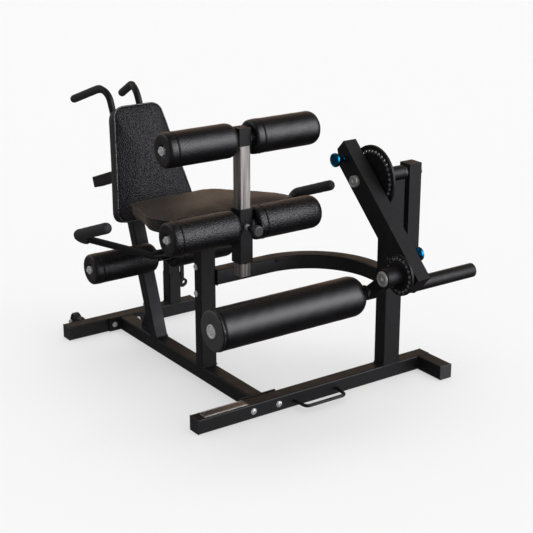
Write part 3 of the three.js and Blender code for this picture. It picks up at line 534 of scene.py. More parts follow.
def round_steelwork():
    turned("pivot_cap_and_axle", "main_axle", [
        (602, 0), (602, 8), (604.2, 8.6), (604.2, 13), (602.8, 15), (603.6, 18), (606, 19), (617.5, 19),
        (617.5, 14), (810.3, 14), (810.3, 18), (819.6, 18), (819.6, 14), (870.5, 14), (870.5, 20),
        (878, 20), (878, 0),
    ], "swing_arm", "zinc", 0.8, finish=DULL_ZINC)
    turned("pivot_tube", "pivot_housing", hollow_rod(695, 810, 14.4, 24), "frame", "frame_black", 1.2)
    turned("plate_horn", "weight_horn", [
        (816, 21), (816, 25), (1143, 25), (1143, 21.5), (1138.5, 20), (1138, 0), (1120, 0), (1120, 21),
        (816, 21),
    ], "swing_arm", "frame_black", 1.4, 72)
    turned("arm_hub", "roller_hub", [
        (526, 0), (526, 21), (529.8, 21), (529.8, 29), (589.6, 29), (589.6, 12.5), (668.6, 12.5),
        (668.6, 20), (675, 20), (675, 0),
    ], "roller_arm", "frame_black", 0.9)
    turned("shin_shaft", "roller_shaft", [(-41, 0), (-41, 12.5), (584, 12.5), (584, 0)],
           "roller_arm", "zinc", 0.7)
    turned("shin_washer", "roller_shaft", [
        (-43, 9.5), (-41.6, 10.5), (-41.6, 15.5), (-43, 16.8), (-42.6, 20.5), (-40, 21.5), (-38, 21.5),
        (-38, 9.5), (-43, 9.5),
    ], "roller_arm", "zinc", 0.6, stands=False)
    turned("hub_washer", "roller_hub", [
        (526.4, 8), (521.8, 8.6), (523.4, 10), (523.4, 15), (521.4, 17.4), (522.4, 22), (525, 24),
        (529.6, 24), (529.6, 8), (526.4, 8),
    ], "roller_arm", "zinc", 0.6, finish=DULL_ZINC, stands=False)

    for name, node, body, x, radius, height in (
            ("shin_bolt", "roller_shaft", "roller_arm", -41.2, 0.0085, 0.0026),
            ("hub_bolt", "roller_hub", "roller_arm", 525.5, 0.0058, 0.0042),
            ("pivot_bolt", "main_axle", "swing_arm", 605.5, 0.0058, 0.0042)):
        head = button_head(Body(), on_axis(node, x), -X, radius, height)
        piece(name, head, body, "zinc", (), WORN_STEEL, 30)
    for name, start, end, radius in (("inner", 504, 512, 24), ("neck", 512.4, 518.6, 19),
                                     ("outer", 519, 529, 24)):
        turned("shin_collar_" + name, "roller_shaft", hollow_rod(start, end, 12.7, radius),
               "roller_arm", "frame_black", stands=False)

    axle("knee_axle_left", -28, 229.7, (-28,), "frame", 0.8)
    axle("knee_axle_right", 280.3, 538, (538,), "frame", 0.8)
    axle("rear_roller_axle", -30, 540, (-30, 540), "frame")
    axle("thigh_axle", -28, 538, (-28, 538), "thigh_carriage")

    for side in ("left", "right"):
        node = "wheel_" + side
        left, right = ((v.x - ORIGIN.x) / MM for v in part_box(node))
        tread = [(2, 6.4), (2, 11), (5, 12), (5, 21), (1, 22.5), (1, 27), (4, 29)]
        outline = [(left + a, r) for a, r in tread] + [(right - a, r) for a, r in reversed(tread)]
        turned("tyre_" + side, node, outline + outline[:1], node, "plastic_black")

    blue_knob("start_knob", "start_pin", "start_pin", -X)
    blue_knob("roller_knob", "roller_pin", "roller_pin", X)
    pull_pin("thigh_knob", "thigh_pin", "thigh_pin", -Y)
    pull_pin("backrest_knob", "backrest_pin", "backrest_pin", X)


def axle(node, start, end, free, body, dish_scale=1.0):
    """A roller's axle: a plain rod with a dished washer and a bolt head at each free end."""
    rod = solid_rod((start + 3) * MM, (end - 3) * MM, AXLE_RADIUS, 0.0008)
    shape = Body().lathe(rod, on_axis(node), X, 40)
    dish = [(0, 0), (0, 0.0142), (0.0030, 0.0136), (0.0030, 0.0095), (0.0020, 0.0080), (0.0020, 0)]
    dish = soften([(a, r * dish_scale) for a, r in dish], 0.0008)
    for x in free:
        inwards = X if x == start else -X
        spot = on_axis(node, x) + inwards * 5 * MM
        shape.lathe(dish, spot, -inwards, 40)
        bolt_head(shape, spot - inwards * 1.6 * MM, -inwards, 0.012, 0.0075)
    piece(node + "_fine", shape, body, "zinc", [node])


# ---------------- index discs
LEVER_SPOKE = math.pi / 2 - LEVER_TILT  # the first hole lies on the lever's middle line
DISC_THICK = 0.008
DISC_EDGE = 0.0007
DISC_BORE = 0.0142
HOLE_RADIUS = 0.0061


def index_disc(node, body, boss_side, radius, hole_circle, holes, boss_radius):
    """A cut steel disc and its boss, with a ring of round holes worn bright at their rims."""
    name = node + "_fine"
    low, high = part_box(node)
    centre = middle(node)
    flat_x = low.x + DISC_THICK / 2 if boss_side > 0 else high.x - DISC_THICK / 2
    outline = bpy.data.curves.new(name, "CURVE")
    outline.dimensions = "2D"
    outline.fill_mode = "BOTH"
    outline.extrude = DISC_THICK / 2 - DISC_EDGE
    outline.bevel_depth = DISC_EDGE
    outline.bevel_resolution = 2
    angles = [LEVER_SPOKE + TURN * k / holes for k in range(holes)]
    spots = [(hole_circle * math.cos(a), hole_circle * math.sin(a)) for a in angles]
    rings = [((0, 0), radius, 128), ((0, 0), DISC_BORE, 40)] + [(spot, HOLE_RADIUS, 24) for spot in spots]
    for (a, b), r, sides in rings:
        ring = outline.splines.new("POLY")
        ring.points.add(sides - 1)
        for point, (c, d) in zip(ring.points, circle(r, sides)):
            point.co = (a + c, b + d, 0, 1)
        ring.use_cyclic_u = True
    holder = add(name, outline)
    graph = bpy.context.evaluated_depsgraph_get()
    mesh = bpy.data.meshes.new_from_object(holder.evaluated_get(graph))
    bpy.data.objects.remove(holder)
    mesh.materials.clear()
    mesh.materials.append(FINISH["frame_black"])
    mesh.materials.append(DULL_ZINC)
    for face in mesh.polygons:
        near = min(math.hypot(face.center.x - a, face.center.y - b) for a, b in spots)
        rim = HOLE_RADIUS * 0.9 < near < HOLE_RADIUS + DISC_EDGE * 0.9
        face.material_index = 1 if rim else 0
        face.use_smooth = False
    mesh.transform(Matrix(((0, 0, 1, flat_x), (1, 0, 0, centre.y), (0, 1, 0, centre.z), (0, 0, 0, 1))))
    piece(name, mesh, body, "frame_black", [node])

    reach = DISC_THICK - 0.0004  # the boss starts just inside the disc's face
    start, end = (low.x + reach, high.x) if boss_side > 0 else (low.x, high.x - reach)
    boss = soften(hollow_rod(start, end, DISC_BORE + 0.0001, boss_radius), 0.0009)
    shape = Body().lathe(boss, Vector((0, centre.y, centre.z)), X, 48)
    piece(name + "_boss", shape, body, "frame_black")


def discs():
    index_disc("start_disc", "swing_arm", -1, 0.105, 0.087, 34, 0.026)
    index_disc("roller_disc", "roller_arm", 1, 0.064, 0.0535, 20, 0.022)


# ---------------- bent tubes and grips
# Half the width between the two sides, then y and z.
CROSS, OUT, GRIP = (275, 205, 528), (420, 446, 557), (420, 222, 640)
# Half the width again, then along the backrest and behind its front.
TOP_HANDLE = [(55, 270, 74), (54.5, 479, 90), (99, 470, 284)]
BACK = {"y": 639, "z": 500, "height": 391, "foot": 157, "head": 88, "thick": 56, "board": 5}
HIDDEN = 0.04  # a handle's tube ends this far inside its foam
SIDES = (("left", -1), ("right", 1))


def seat_side(sign, spot):
    half, y, z = spot
    return at(SEAT_X + sign * half, y, z)


def backrest_spot(half, along, behind, sign=1):
    """A point given from the foot of the backrest's front face."""
    return at(SEAT_X + sign * half, BACK["y"], BACK["z"]) + UP * along * MM - AHEAD * behind * MM


def foam_sleeve(name, path, stands_for, body, radius):
    """A foam sleeve along a path, with a rolled mouth at its start and a domed tip at its end."""
    stops = evenly(path, 0.006)
    tip = stops[-1]
    axis = (tip - stops[-2]).normalized()
    dome = [t * math.pi / 2 for t in (0.0, 0.22, 0.44, 0.64, 0.80, 0.92, 1.0)]
    straight = [p for p in stops if (p - tip).length > 0.014]
    rounded = [tip - axis * 0.013 * (1 - math.sin(angle)) for angle in dome]

    def swell(i):
        if i >= len(straight):
            return 1 - 0.62 * (1 - math.cos(dome[i - len(straight)]))
        rolled = (0.90, 0.975)[i] if i < 2 else 1
        return rolled * (1 + 0.010 * math.sin(i * 0.9))

    shape = Body().sweep(straight + rounded, circle(radius, 36), X, swell=swell)
    piece(name, shape, body, "grip_foam", stands_for, sharp=65)


def tube(name, path, radius, node, body, side=X):
    shape = Body().sweep(path, circle(radius, 28), side)
    piece(name, shape, body, "frame_black", [node], sharp=50)


def bent_tubes():
    corners = [seat_side(-1, spot) for spot in (GRIP, OUT, CROSS)]
    corners += [seat_side(1, spot) for spot in (CROSS, OUT, GRIP)]
    for end, beside in ((0, 1), (5, 4)):
        corners[end] = corners[end] + (corners[beside] - corners[end]).normalized() * HIDDEN
    tube("handle_bar_fine", bent(corners, 0.013, 12), 0.011, "handle_bar", "frame", Z)
    for side, sign in SIDES:
        cross, bend, tip = (seat_side(sign, spot) for spot in (CROSS, OUT, GRIP))
        start = bend + (cross - bend).normalized() * 0.050
        foam_sleeve("handle_foam_" + side, bent([start, bend, tip], 0.013, 12), ["side_grip_" + side],
                    "frame", 0.0175)

        path = bent([backrest_spot(*spot, sign) for spot in TOP_HANDLE], 0.060, 20)
        rear = (path[-1] - path[-2]).normalized()
        tube("top_tube_" + side, path[:-1] + [path[-1] - rear * 0.02], 0.0119, "top_handle_" + side,
             "backrest")
        foam_sleeve("top_foam_" + side, path[15:], (), "backrest", 0.0142)

    lift = [at(364, -1.2, 22), at(371, -57, 20), at(528, -57, 20), at(535, -1.2, 22)]
    tube("lift_bar", bent(lift, 0.016, 10), 0.0055, "lift_handle", "frame", Z)

    brace = bent([at(285.3, 350, 360), at(757, 350, 360), at(757, 50.3, 360)], 0.253, 40)
    shape = Body().sweep(brace, rounded_rectangle(BEAM * MM, BEAM * MM, 0.0045, 5), Z)
    piece("brace_tube", shape, "frame", "frame_black", ["curved_brace"], sharp=40)


# ---------------- upholstery
COVERS = []  # what the stuffing simulation works on, and how far each may swell


def cover(name, points, faces, held, node, body, finish, cap):
    """A closed leather cover; held are the vertices that its seams and boards keep in place."""
    made = piece(name, Body().take(points, faces), body, "pad_leather", [node], finish, 75)
    made.vertex_groups.new(name="seams").add(held, 1.0, "REPLACE")
    COVERS.append((made, cap))
    return made


def stuff(covers):
    """Swells the covers as cloth under pressure and keeps the shape that they reach."""
    scene = bpy.context.scene
    rest = {}
    for made, _ in covers:
        rest[made.name] = positions(made.data)
        cloth = made.modifiers.new("stuffing", "CLOTH").settings
        cloth.vertex_group_mass = "seams"
        cloth.use_pressure = True
        cloth.uniform_pressure_force = 4.0
        cloth.effector_weights.gravity = 0
        cloth.tension_stiffness = cloth.compression_stiffness = 30
        cloth.bending_stiffness = 3
        cloth.quality = 5
    for number in range(1, 21):
        scene.frame_set(number)
    graph = bpy.context.evaluated_depsgraph_get()
    for made, cap in covers:
        move = positions(made.evaluated_get(graph).data) - rest[made.name]
        reach = np.linalg.norm(move, axis=1, keepdims=True)
        move *= np.minimum(1, cap / np.maximum(reach, 1e-9))
        made.modifiers.remove(made.modifiers["stuffing"])
        set_positions(made.data, rest[made.name] + move)
    scene.frame_set(1)


def positions(mesh):
    flat = np.zeros(len(mesh.vertices) * 3)
    mesh.vertices.foreach_get("co", flat)
    return flat.reshape(-1, 3)


def set_positions(mesh, points):
    mesh.vertices.foreach_set("co", points.ravel())
    mesh.update()


def smooth_surface(made):
    step = made.modifiers.new("smooth", "SUBSURF")
    step.levels = step.render_levels = 1


def waves(seed, count, low, high):
    """A sum of sines round a turn, the same on every run."""
    draw = np.random.default_rng(seed)
    parts = [(draw.integers(low, high), draw.uniform(0, TURN), draw.uniform(0.4, 1)) for _ in range(count)]
    return lambda angle: sum(a * np.sin(n * angle + phase) for n, phase, a in parts) / count


def stitches(name, seam, body, aside):
    """A row of short thread stitches beside a closed seam."""
    pitch, length, thick = 0.0075, 0.0046, 0.0005
    row = Body()
    stops = evenly(seam, pitch, closed=True)
    for here, after in zip(stops, stops[1:] + stops[:1]):
        along = (after - here).normalized()
        spot = here + aside - along * length / 2
        row.lathe([(0, 0), (length * 0.12, thick), (length * 0.88, thick), (length, 0)], spot, along, 6)
    piece(name, row, body, "pad_leather", (), THREAD, 80)


ROLLERS = [kind + "_roller_" + side for kind in ("thigh", "knee", "rear") for side, _ in SIDES]
ROLLERS += ["shin_roller"]
ROLLER_SIDES = 72
ROLLER_BORE = 0.0135
SLACK = 0.0016  # a roller's cover starts this much smaller than the stuffed roller


def roller(node, seed, finish, seam, end_round, tail_round):
    """A foam roller in a leather sleeve: a capped left end, a seam and a gathered right end.

    Gives the cover, the left end of its axis, its radius and how far along the seam and tail lie."""
    origin, full, radius = cylinder(node)
    radius -= SLACK
    tail = full - tail_round
    quarters = [t * math.pi / 2 for t in (0.25, 0.5, 0.75, 1.0)]

    rings = [(0.006, ROLLER_BORE, True), (0.002, ROLLER_BORE + 0.003, True)]
    face = np.linspace(ROLLER_BORE + 0.010, radius - end_round, 4)
    rings += [(0.0012 - 0.0003 * k, r, False) for k, r in enumerate(face)]
    rings += [(end_round * (1 - math.cos(a)), radius - end_round * (1 - math.sin(a)), False)
              for a in quarters]
    rings += [(a, radius + 0.0004, False) for a in np.linspace(end_round + 0.006, seam - 0.005, 3)]
    rings += [(seam + a, radius + rise, rise < 0) for a, rise in (
        (-0.0024, 0.0004), (-0.0009, -0.0016), (0, -0.0026), (0.0009, -0.0016), (0.0024, 0.0004))]
    start = seam + 0.009
    count = round((tail - start) / 0.009)
    rings += [(start + (tail - start) * k / count, radius, False) for k in range(count + 1)]
    rings += [(full - tail_round * (1 - math.sin(a)), radius - tail_round * (1 - math.cos(a)), False)
              for a in quarters]
    face = np.linspace(radius - tail_round, ROLLER_BORE + 0.003, 3)[1:]
    rings += [(full - 0.0006 * k, r, False) for k, r in enumerate(face)]
    rings += [(a, ROLLER_BORE, True) for a in (full - 0.004, full * 0.66, full * 0.33)]

    uneven = waves(seed, 5, 2, 9)
    points, held = [], []
    for along, r, fixed in rings:
        for k in range(ROLLER_SIDES):
            angle = TURN * k / ROLLER_SIDES
            wobble = 0 if fixed else 0.0004 * float(uneven(angle + along * 14))
            if fixed:
                held.append(len(points))
            points.append(origin + X * along + (Y * math.cos(angle) + Z * math.sin(angle)) * (r + wobble))
    faces = strips(len(rings), ROLLER_SIDES, closed=True)
    made = cover(node + "_cover", points, faces, held, node, node, finish, 0.006)
    return made, origin, radius, seam, tail


def finish_roller(node, seed, made, origin, radius, seam, tail):
    """Puckers the gathered end, adds one subdivision, and sews the seam's welt and stitches."""
    points = positions(made.data)
    away = points - np.array(origin)
    pucker = waves(seed + 50, 6, 14, 30)(np.arctan2(away[:, 2], away[:, 1]))
    reach = np.hypot(away[:, 1], away[:, 2])
    near_tail = np.exp(-((away[:, 0] - tail - 0.012) / 0.011) ** 2)
    on_face = np.clip((reach - 0.017) / 0.01, 0, 1)
    radial = away[:, 1:] / np.maximum(reach, 1e-6)[:, None]
    points[:, 1:] += radial * (0.0011 * pucker * near_tail * on_face)[:, None]
    set_positions(made.data, points)
    smooth_surface(made)
    ring = loop(origin + X * seam, radius, 96)
    cord = Body().sweep(ring, circle(0.0011, 8), X, closed=True)
    piece(made.name + "_welt", cord, node, "pad_leather", (), FINE_LEATHER, 80)
    stitches(made.name + "_stitches", ring, node, X * -0.0034)


def corner_curve(corners, radii, step):
    """An outline whose corners are rounded off, with points a given distance apart."""
    made = []
    count = len(corners)
    for i in range(count):
        here, before, after = (Vector((*corners[j % count], 0)) for j in (i, i - 1, i + 1))
        back, ahead = before - here, after - here
        trim = min(radii[i], 0.42 * back.length, 0.42 * ahead.length)
        start, end = here + back.normalized() * trim, here + ahead.normalized() * trim
        for k in range(9):
            t = k / 8
            made.append(start * (1 - t) ** 2 + here * 2 * t * (1 - t) + end * t * t)
    return evenly(made, step, closed=True)


CROWN = 0.004  # how far a cushion's top rises in the middle before it is stuffed


def pad(name, node, body, outline, thick, place, board, cap, heart, finish):
    """A boxed cushion on a board: side panels, a welted top edge and a crowned top.

    The outline lies in the plane of the board, and place carries it to the row frame. Gives the
    cover and which of its vertices are the top seam's."""
    hub = np.array(heart)
    ring = np.array([(p.x, p.y) for p in outline])
    away = ring - hub
    reach = np.linalg.norm(away, axis=1, keepdims=True)
    side = thick - 0.0075
    edges = [(0.010, board, True), (0.0035, board + 0.0006, True), (0.0012, board + 0.004, False)]
    edges += [(0.0004, board + (side - board) * t, False) for t in (0.28, 0.46, 0.64, 0.82)]
    edges += [(0.0006, side - 0.0012, False), (0.0016, side, True), (0.0022, side + 0.0022, False),
              (0.006, thick - 0.0024, False), (0.0115, thick - 0.0008, False)]
    levels = [(hub + away * s, board, True) for s in (0.12, 0.4, 0.7)]
    levels += [(hub + away * (1 - inset / reach), height, fixed) for inset, height, fixed in edges]
    inner = 1 - 0.0115 / float(reach.mean())
    for k in range(18):
        share = 0.93 - 0.052 * k
        levels.append((hub + away * (share * inner), thick + CROWN * (1 - share ** 2.2), False))

    count = len(ring)
    points, held = [], []
    for spots, height, fixed in levels:
        if fixed:
            seam = slice(len(points), len(points) + count)
            held += range(seam.start, seam.stop)
        points += [place @ Vector((a, b, height)) for a, b in spots]
    last, bottom, top = len(points) - count, len(points), len(points) + 1
    points += [place @ Vector((*hub, board)), place @ Vector((*hub, thick + CROWN))]
    held.append(bottom)
    faces = strips(len(levels), count)
    faces += [[(k + 1) % count, k, bottom] for k in range(count)]
    faces += [[last + k, last + (k + 1) % count, top] for k in range(count)]
    return cover(name, points, faces, held, node, body, finish, cap), seam


def welt(name, made, seam, body, normal, finish):
    """The piping over a cushion's top seam."""
    ring = [Vector(p) for p in positions(made.data)[seam]]
    heart = sum(ring, Vector()) / len(ring)
    outward = [(p - heart - normal * (p - heart).dot(normal)).normalized() for p in ring]
    path = [p + o * 0.0006 + normal * 0.0004 for p, o in zip(ring, outward)]
    cord = Body().sweep(evenly(path, 0.004, True), circle(0.0027, 12), normal, closed=True,
                        swell=lambda i: 1 + 0.07 * math.sin(i * 1.3) + 0.05 * math.sin(i * 0.53))
    piece(name, cord, body, "pad_leather", (), finish, 80)


SEAT = {"y": 183, "top": 643, "tilt": math.radians(7), "thick": 50, "board": 9}
SEAT_OUTLINE = [(218, -34), (241, 30), (242, 118), (206, 208), (160, 375)]  # half width, distance back
SEAT_ROUND = [16, 60, 90, 120, 36]
NOTCH = [(-36, -34), (-29, -22), (29, -22), (36, -34)]
BOARD_FRONT = 4  # the seat's board starts further back than its cushion
HUG = 0.0575  # the seat's front edge stays this far from the knee rollers' axis


def seat_place():
    """Carries the seat's plan, and heights over its board's underside, to the row frame."""
    lay = Matrix.Translation(at(SEAT_X, SEAT["y"], SEAT["top"] - SEAT["thick"]))
    return lay @ Matrix.Rotation(-SEAT["tilt"], 4, "X")


def seat_plan(front, notch, step):
    """The seat's outline in its own plane, from a front edge at the given depth."""
    right = [(SEAT_OUTLINE[0][0], front)] + SEAT_OUTLINE[1:]
    corners = right + [(-x, y) for x, y in reversed(right)] + notch
    radii = SEAT_ROUND + SEAT_ROUND[::-1] + [4] * len(notch)
    return corner_curve([(x * MM, y * MM) for x, y in corners], [r * MM for r in radii], step)


def soft_parts():
    rollers = []
    for seed, node in enumerate(ROLLERS, 1):
        if node == "shin_roller":
            made = roller(node, seed, SATIN_LEATHER, 0.012, 0.004, 0.034)
        else:
            hide = COARSE_LEATHER if node.startswith("knee") else FINE_LEATHER
            made = roller(node, seed, hide, 0.030, 0.009, 0.024)
        rollers.append((node, seed, *made))

    plan = seat_plan(SEAT_OUTLINE[0][1], NOTCH, 0.0085)
    seat, seat_seam = pad("seat_cushion", "seat_pad", "frame", plan, SEAT["thick"] * MM, seat_place(),
                          SEAT["board"] * MM, 0.010, (0, 0.165), SEAT_LEATHER)

    foot, head, height = (BACK[k] * MM for k in ("foot", "head", "height"))
    corners = [(foot, 0), (head, height), (-head, height), (-foot, 0)]
    plan = corner_curve(corners, [0.042, 0.036, 0.036, 0.042], 0.0085)
    lay = Matrix((X, UP, AHEAD)).transposed().to_4x4()
    lay.translation = backrest_spot(0, 0, BACK["thick"])
    back, back_seam = pad("back_cushion", "backrest_pad", "backrest", plan, BACK["thick"] * MM, lay,
                          0.0006, 0.009, (0, height * 0.46), FINISH["pad_leather"])

    stuff(COVERS)

    for made in rollers:
        finish_roller(*made)
    keep_clear(seat)
    up_from_seat = Matrix.Rotation(-SEAT["tilt"], 3, "X") @ Z
    welt("seat_welt", seat, seat_seam, "frame", up_from_seat, SEAT_LEATHER)
    welt("back_welt", back, back_seam, "backrest", AHEAD, WELT_LEATHER)
    for made in (seat, back):
        relax = made.modifiers.new("relax", "SMOOTH")
        relax.factor, relax.iterations = 0.5, 14
        relax.vertex_group, relax.invert_vertex_group = "seams", True
        smooth_surface(made)


def keep_clear(seat):
    """Presses the seat's front edge back where it meets the knee rollers."""
    axis = np.array(middle("knee_roller_left").yz)
    points = positions(seat.data)
    away = points[:, 1:] - axis
    reach = np.linalg.norm(away, axis=1)
    inside = reach < HUG
    points[inside, 1:] = axis + away[inside] * (HUG / reach[inside])[:, None]
    set_positions(seat.data, points)


# ---------------- flat steelwork kept from the CAD
def keep_cad_nodes():
    """Gives every CAD node that is still shown its finish, and softens its folded edges."""
    slots = {entry["node"]: entry["material_slot"] for entry in frame["record"]["subparts"]}
    for name, node in frame["nodes"].items():
        if node.hide_render:
            continue
        node.data.materials.clear()
        node.data.materials.append(FINISH[slots[name]])
        weld = node.modifiers.new("merge", "WELD")
        weld.merge_threshold = 0.00002
        flat = node.modifiers.new("flat_faces", "DECIMATE")
        flat.decimate_type = "DISSOLVE"
        flat.angle_limit = math.radians(1)
        edge = node.modifiers.new("soft_edges", "BEVEL")
        edge.width, edge.segments = 0.0009, 2
        edge.limit_method, edge.angle_limit = "ANGLE", math.radians(25)


# ---------------- welds, bolts and plates
def bead(body, path, closed=False, radius=0.0026):
    """A weld bead: a ripple every few millimetres along a joint."""
    stops = evenly(path, 0.0011, closed)
    ripple = lambda i: 1 + 0.16 * math.sin(i * 1.55) + 0.07 * math.sin(i * 0.37)
    side = X if abs((stops[1] - stops[0]).normalized().x) < 0.7 else Z
    body.sweep(stops, circle(radius, 8), side, closed, ripple)


def welds():
    joints = Body()
    for x, y, half_x, half_y, lift in ((255, 355, 30.5, 20.5, 0.5), (768, 25, 35.4, 25.2, 0.5),
                                       (472, 940, 25.3, 25.2, 0.5), (255, 671, 25.4, 21.6, 0.6)):
        foot = rounded_rectangle(2 * half_x, 2 * half_y, 5, 3)  # round an upright that stands on a beam
        bead(joints, [at(x + a, y + b, BEAM + lift) for a, b in foot], True)
    runs = [((x, -0.6, 4), (x, -0.6, 46)) for x in (887, 937)]
    runs += [((890, -0.6, BEAM), (934, -0.6, BEAM))]
    runs += [((x, y, 3), (x, y, 47)) for y in (56.8, 908.2) for x in (229.5, 280.5)]
    runs += [((x, 50.6, 338), (x, 50.6, 382)) for x in (732, 782)]
    for z in (335, 385):
        runs += [((735, 50.6, z), (779, 50.6, z)), ((285.8, 328, z), (285.8, 372, z))]
    for start, end in runs:
        bead(joints, [at(*start), at(*end)])
    for x in (364, 535):
        bead(joints, [at(x, -0.5, 22) + X * a + Z * b for a, b in circle(0.0058, 17)], True, 0.0018)
    for x in (250.7, 259.3):
        bead(joints, [at(x, 697, BEAM + 0.8), at(x, 786, BEAM + 0.8)], False, 0.0020)
    piece("frame_welds", joints, "frame", "frame_black", sharp=80)

    swing = Body()
    for x in (819.6, 870.4):
        bead(swing, loop(at(x, 25, 304), 0.0256, 59), True, 0.0022)
    piece("weight_arm_welds", swing, "swing_arm", "frame_black", sharp=80)


def fasteners():
    bolts = Body()
    for x in (206, 304):
        button_head(bolts, at(x, 0, 25), -Y)
        bolt_head(bolts, at(x, 56.4, 25), Y)
        bolt_head(bolts, at(x, 908.6, 25), -Y)
        button_head(bolts, at(x, 965, 25), Y)
    for z in (400, 307):
        button_head(bolts, at(225, 364, z), -X)
        bolt_head(bolts, at(285, 364, z), X, washer=0.009)
    dark = button_head(Body(), at(255, 108, 618), -Y, 0.0045, 0.003)
    button_head(dark, at(525, 324.7, 378), -Y, 0.0065, 0.004)
    piece("dark_screws", dark, "frame", "frame_black", sharp=30)
    for wheel in (98, 412):
        for side in (-1, 1):
            bolt_head(bolts, at(wheel + 22 * side, 1004, 36), X * side, washer=0.0085)
    piece("frame_bolts", bolts, "frame", "zinc", sharp=30)

    board = Body()
    behind = BACK["thick"] + BACK["board"] + 0.3
    for along in (70, 300):
        for sign in (-1, 1):
            bolt_head(board, backrest_spot(52, along, behind, sign), -AHEAD, washer=0.011)
    piece("board_bolts", board, "backrest", "zinc", sharp=30)


def backrest_plate():
    """A steel mounting plate between the backrest's board and its slide tube."""
    behind = BACK["thick"] + BACK["board"] + 2.2
    plate = Body().block(backrest_spot(0, 185, behind), (0.130, 0.270, 0.004), (X, UP, AHEAD))
    piece("backrest_plate", plate, "backrest", "frame_black", sharp=30)


def seat_base():
    """The board under the seat cushion, with two steel cross plates and their screws."""
    lay = seat_place()
    heart = Vector((0, 0.18, 0))
    plan = seat_plan(BOARD_FRONT, [], 0.012)
    inner = [heart + (p - heart) * (1 - 0.008 / (p - heart).length) for p in plan]
    count = len(inner)
    points = [lay @ Vector((p.x, p.y, h)) for h in (0.0004, SEAT["board"] * MM) for p in inner]
    faces = strips(2, count) + [list(range(count)), list(range(count, 2 * count))]
    piece("seat_board", Body().take(points, faces), "frame", "plastic_black", (),
          plastic("board_black", 0.010, 0.6), 30)
    plates, screws = Body(), Body()
    axes = tuple(lay.to_3x3() @ v for v in (X, Y, Z))
    for back in (0.070, 0.300):
        plates.block(lay @ Vector((0, back, -0.0022)), (0.24, 0.05, 0.004), axes)
        for side in (-0.095, 0.095):
            button_head(screws, lay @ Vector((side, back, -0.0042)), -axes[2], 0.006, 0.0035)
    piece("seat_plates", plates, "frame", "frame_black", sharp=30)
    piece("seat_screws", screws, "frame", "zinc", sharp=30)


def blank_plate():
    """Two rivets and a raised border on the blank plate of the front cross beam."""
    low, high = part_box("name_plate")
    centre = (low + high) / 2
    size = high - low
    border = [Vector((centre.x + a, centre.y + b, high.z)) for a, b in
              rounded_rectangle(size.x - 0.008, size.y - 0.008, 0.002, 3)]
    trim = Body().sweep(evenly(border, 0.004, True), circle(0.0006, 8), Z, closed=True)
    rivet = soften([(0, 0), (0, 0.0030), (0.0009, 0.0022), (0.0011, 0)], 0.0004)
    for x in (low.x + 0.009, high.x - 0.009):
        trim.lathe(rivet, Vector((x, centre.y, high.z)), Z, 20)
    piece("plate_rivets", trim, "frame", "bare_steel", sharp=40)


def shin_end_disc():
    """The shin roller's moulded end disc."""
    origin, _, radius = cylinder("shin_roller")
    radius -= 0.003
    disc = [(-0.0005, 0.014), (-0.0012, 0.022), (-0.0012, radius - 0.006), (0.0008, radius - 0.001),
            (0.006, radius), (0.009, radius), (0.009, 0.014), (-0.0005, 0.014)]
    made = Body().lathe(soften(disc, 0.0012), origin, X, 72)
    piece("shin_end_disc", made, "shin_roller", "plastic_black", (), END_CAP, 35)


# ---------------- camera, light and floor
CAMERA_SPOT = (-1896.9, -3088.0, 1796.7)
CAMERA_TURN, CAMERA_RISE = math.radians(-34.87), math.radians(19.03)
FOCAL = 1304.6 / 533  # of the picture's width
FLOOR_HALF = 12
SOFTBOXES = [  # direction, colour, how tight
    ((0.54, -0.775, 0.326), (9.0, 9.0, 9.5), 11.0),
    ((0.54, 0.80, 0.26), (0.56, 0.39, 0.27), 5.0),
    ((-0.55, 0.65, 0.55), (1.4, 1.4, 1.45), 8.0),
    ((-0.70, -0.70, -0.10), (0.5, 0.5, 0.54), 8.0),
]
DIM_STUDIO = (0.060, 0.056, 0.060)  # what is reflected between the softboxes
EVEN_LIGHT, BACKDROP = (0.78, 0.78, 0.78, 1), (0.955, 0.955, 0.955, 1)


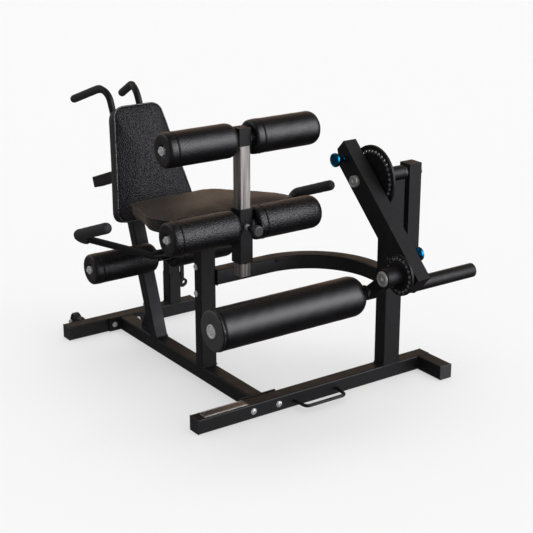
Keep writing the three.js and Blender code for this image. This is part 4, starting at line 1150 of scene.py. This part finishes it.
def stage():
    scene = bpy.context.scene
    camera = add("camera", bpy.data.cameras.new("camera"))
    level = math.cos(CAMERA_RISE)
    back = Vector((math.sin(CAMERA_TURN) * level, -math.cos(CAMERA_TURN) * level, math.sin(CAMERA_RISE)))
    camera.location = at(*CAMERA_SPOT)
    camera.rotation_mode = "QUATERNION"
    camera.rotation_quaternion = (-back).to_track_quat("-Z", "Y")
    camera.data.sensor_width = 36
    camera.data.lens = FOCAL * 36
    camera.data.clip_end = 50
    scene.camera = camera

    sheet = bpy.data.meshes.new("floor")
    corners = [(a * FLOOR_HALF, b * FLOOR_HALF, 0) for a, b in ((-1, -1), (1, -1), (1, 1), (-1, 1))]
    sheet.from_pydata(corners, [], [(0, 1, 2, 3)])
    floor = add("floor", sheet)
    floor.location.z = -0.0004
    # The floor glows a little, so that its shadows stay as pale as on a lit studio sweep.
    paper = Finish("floor", Specular_IOR_Level=0.1, Roughness=0.9, Base_Color=(0.43, 0.43, 0.43, 1),
                   Emission_Color=(1, 1, 1, 1), Emission_Strength=0.455)
    floor.data.materials.append(paper.material)
    floor.visible_glossy = False

    scene.view_settings.view_transform = "Standard"
    surroundings(scene)
    shine("key", 0.35, 30, Vector((0.30, -0.50, 0.80)))
    shine("overhead", 0.90, 60, Vector((0.05, 0.10, 1.0)))


def shine(name, energy, spread, towards):
    """A distant light in the given direction. Its mirror image comes from the surroundings."""
    light = bpy.data.lights.new(name, "SUN")
    light.energy, light.angle = energy, math.radians(spread)
    holder = add(name, light)
    holder.rotation_mode = "QUATERNION"
    holder.rotation_quaternion = towards.to_track_quat("Z", "Y")
    holder.visible_glossy = False


def surroundings(scene):
    """A dim studio with softboxes for the reflections, even light for the rest, white to the camera."""
    scene.world = bpy.data.worlds.new("world")
    scene.world.use_nodes = True
    sky = Nodes(scene.world.node_tree)

    def background(colour):
        return sky.node("ShaderNodeBackground", Color=colour).outputs["Background"]

    def vectors(operation, **inputs):
        return sky.node("ShaderNodeVectorMath", {"operation": operation}, **inputs).outputs

    towards = sky.node("ShaderNodeTexCoord").outputs["Generated"]
    total = DIM_STUDIO
    for direction, colour, tight in SOFTBOXES:
        near = vectors("DOT_PRODUCT", _0=towards, _1=Vector(direction).normalized())["Value"]
        slope = sky.maths("MULTIPLY", sky.maths("SUBTRACT", near, 1), tight)
        glow = sky.node("ShaderNodeMath", {"operation": "EXPONENT"}, _0=slope).outputs["Value"]
        total = vectors("ADD", _0=total, _1=vectors("SCALE", _0=colour, Scale=glow)["Vector"])["Vector"]
    ray = sky.node("ShaderNodeLightPath").outputs
    lit = sky.node("ShaderNodeMixShader", _0=ray["Is Glossy Ray"], _1=background(EVEN_LIGHT),
                   _2=background(total))
    last = sky.node("ShaderNodeMixShader", _0=ray["Is Camera Ray"], _1=lit.outputs["Shader"],
                    _2=background(BACKDROP))
    sky.feed(sky.tree.nodes["World Output"].inputs["Surface"], last.outputs["Shader"])


round_steelwork()
discs()
bent_tubes()
soft_parts()
keep_cad_nodes()
welds()
fasteners()
backrest_plate()
seat_base()
blank_plate()
shin_end_disc()
stage()
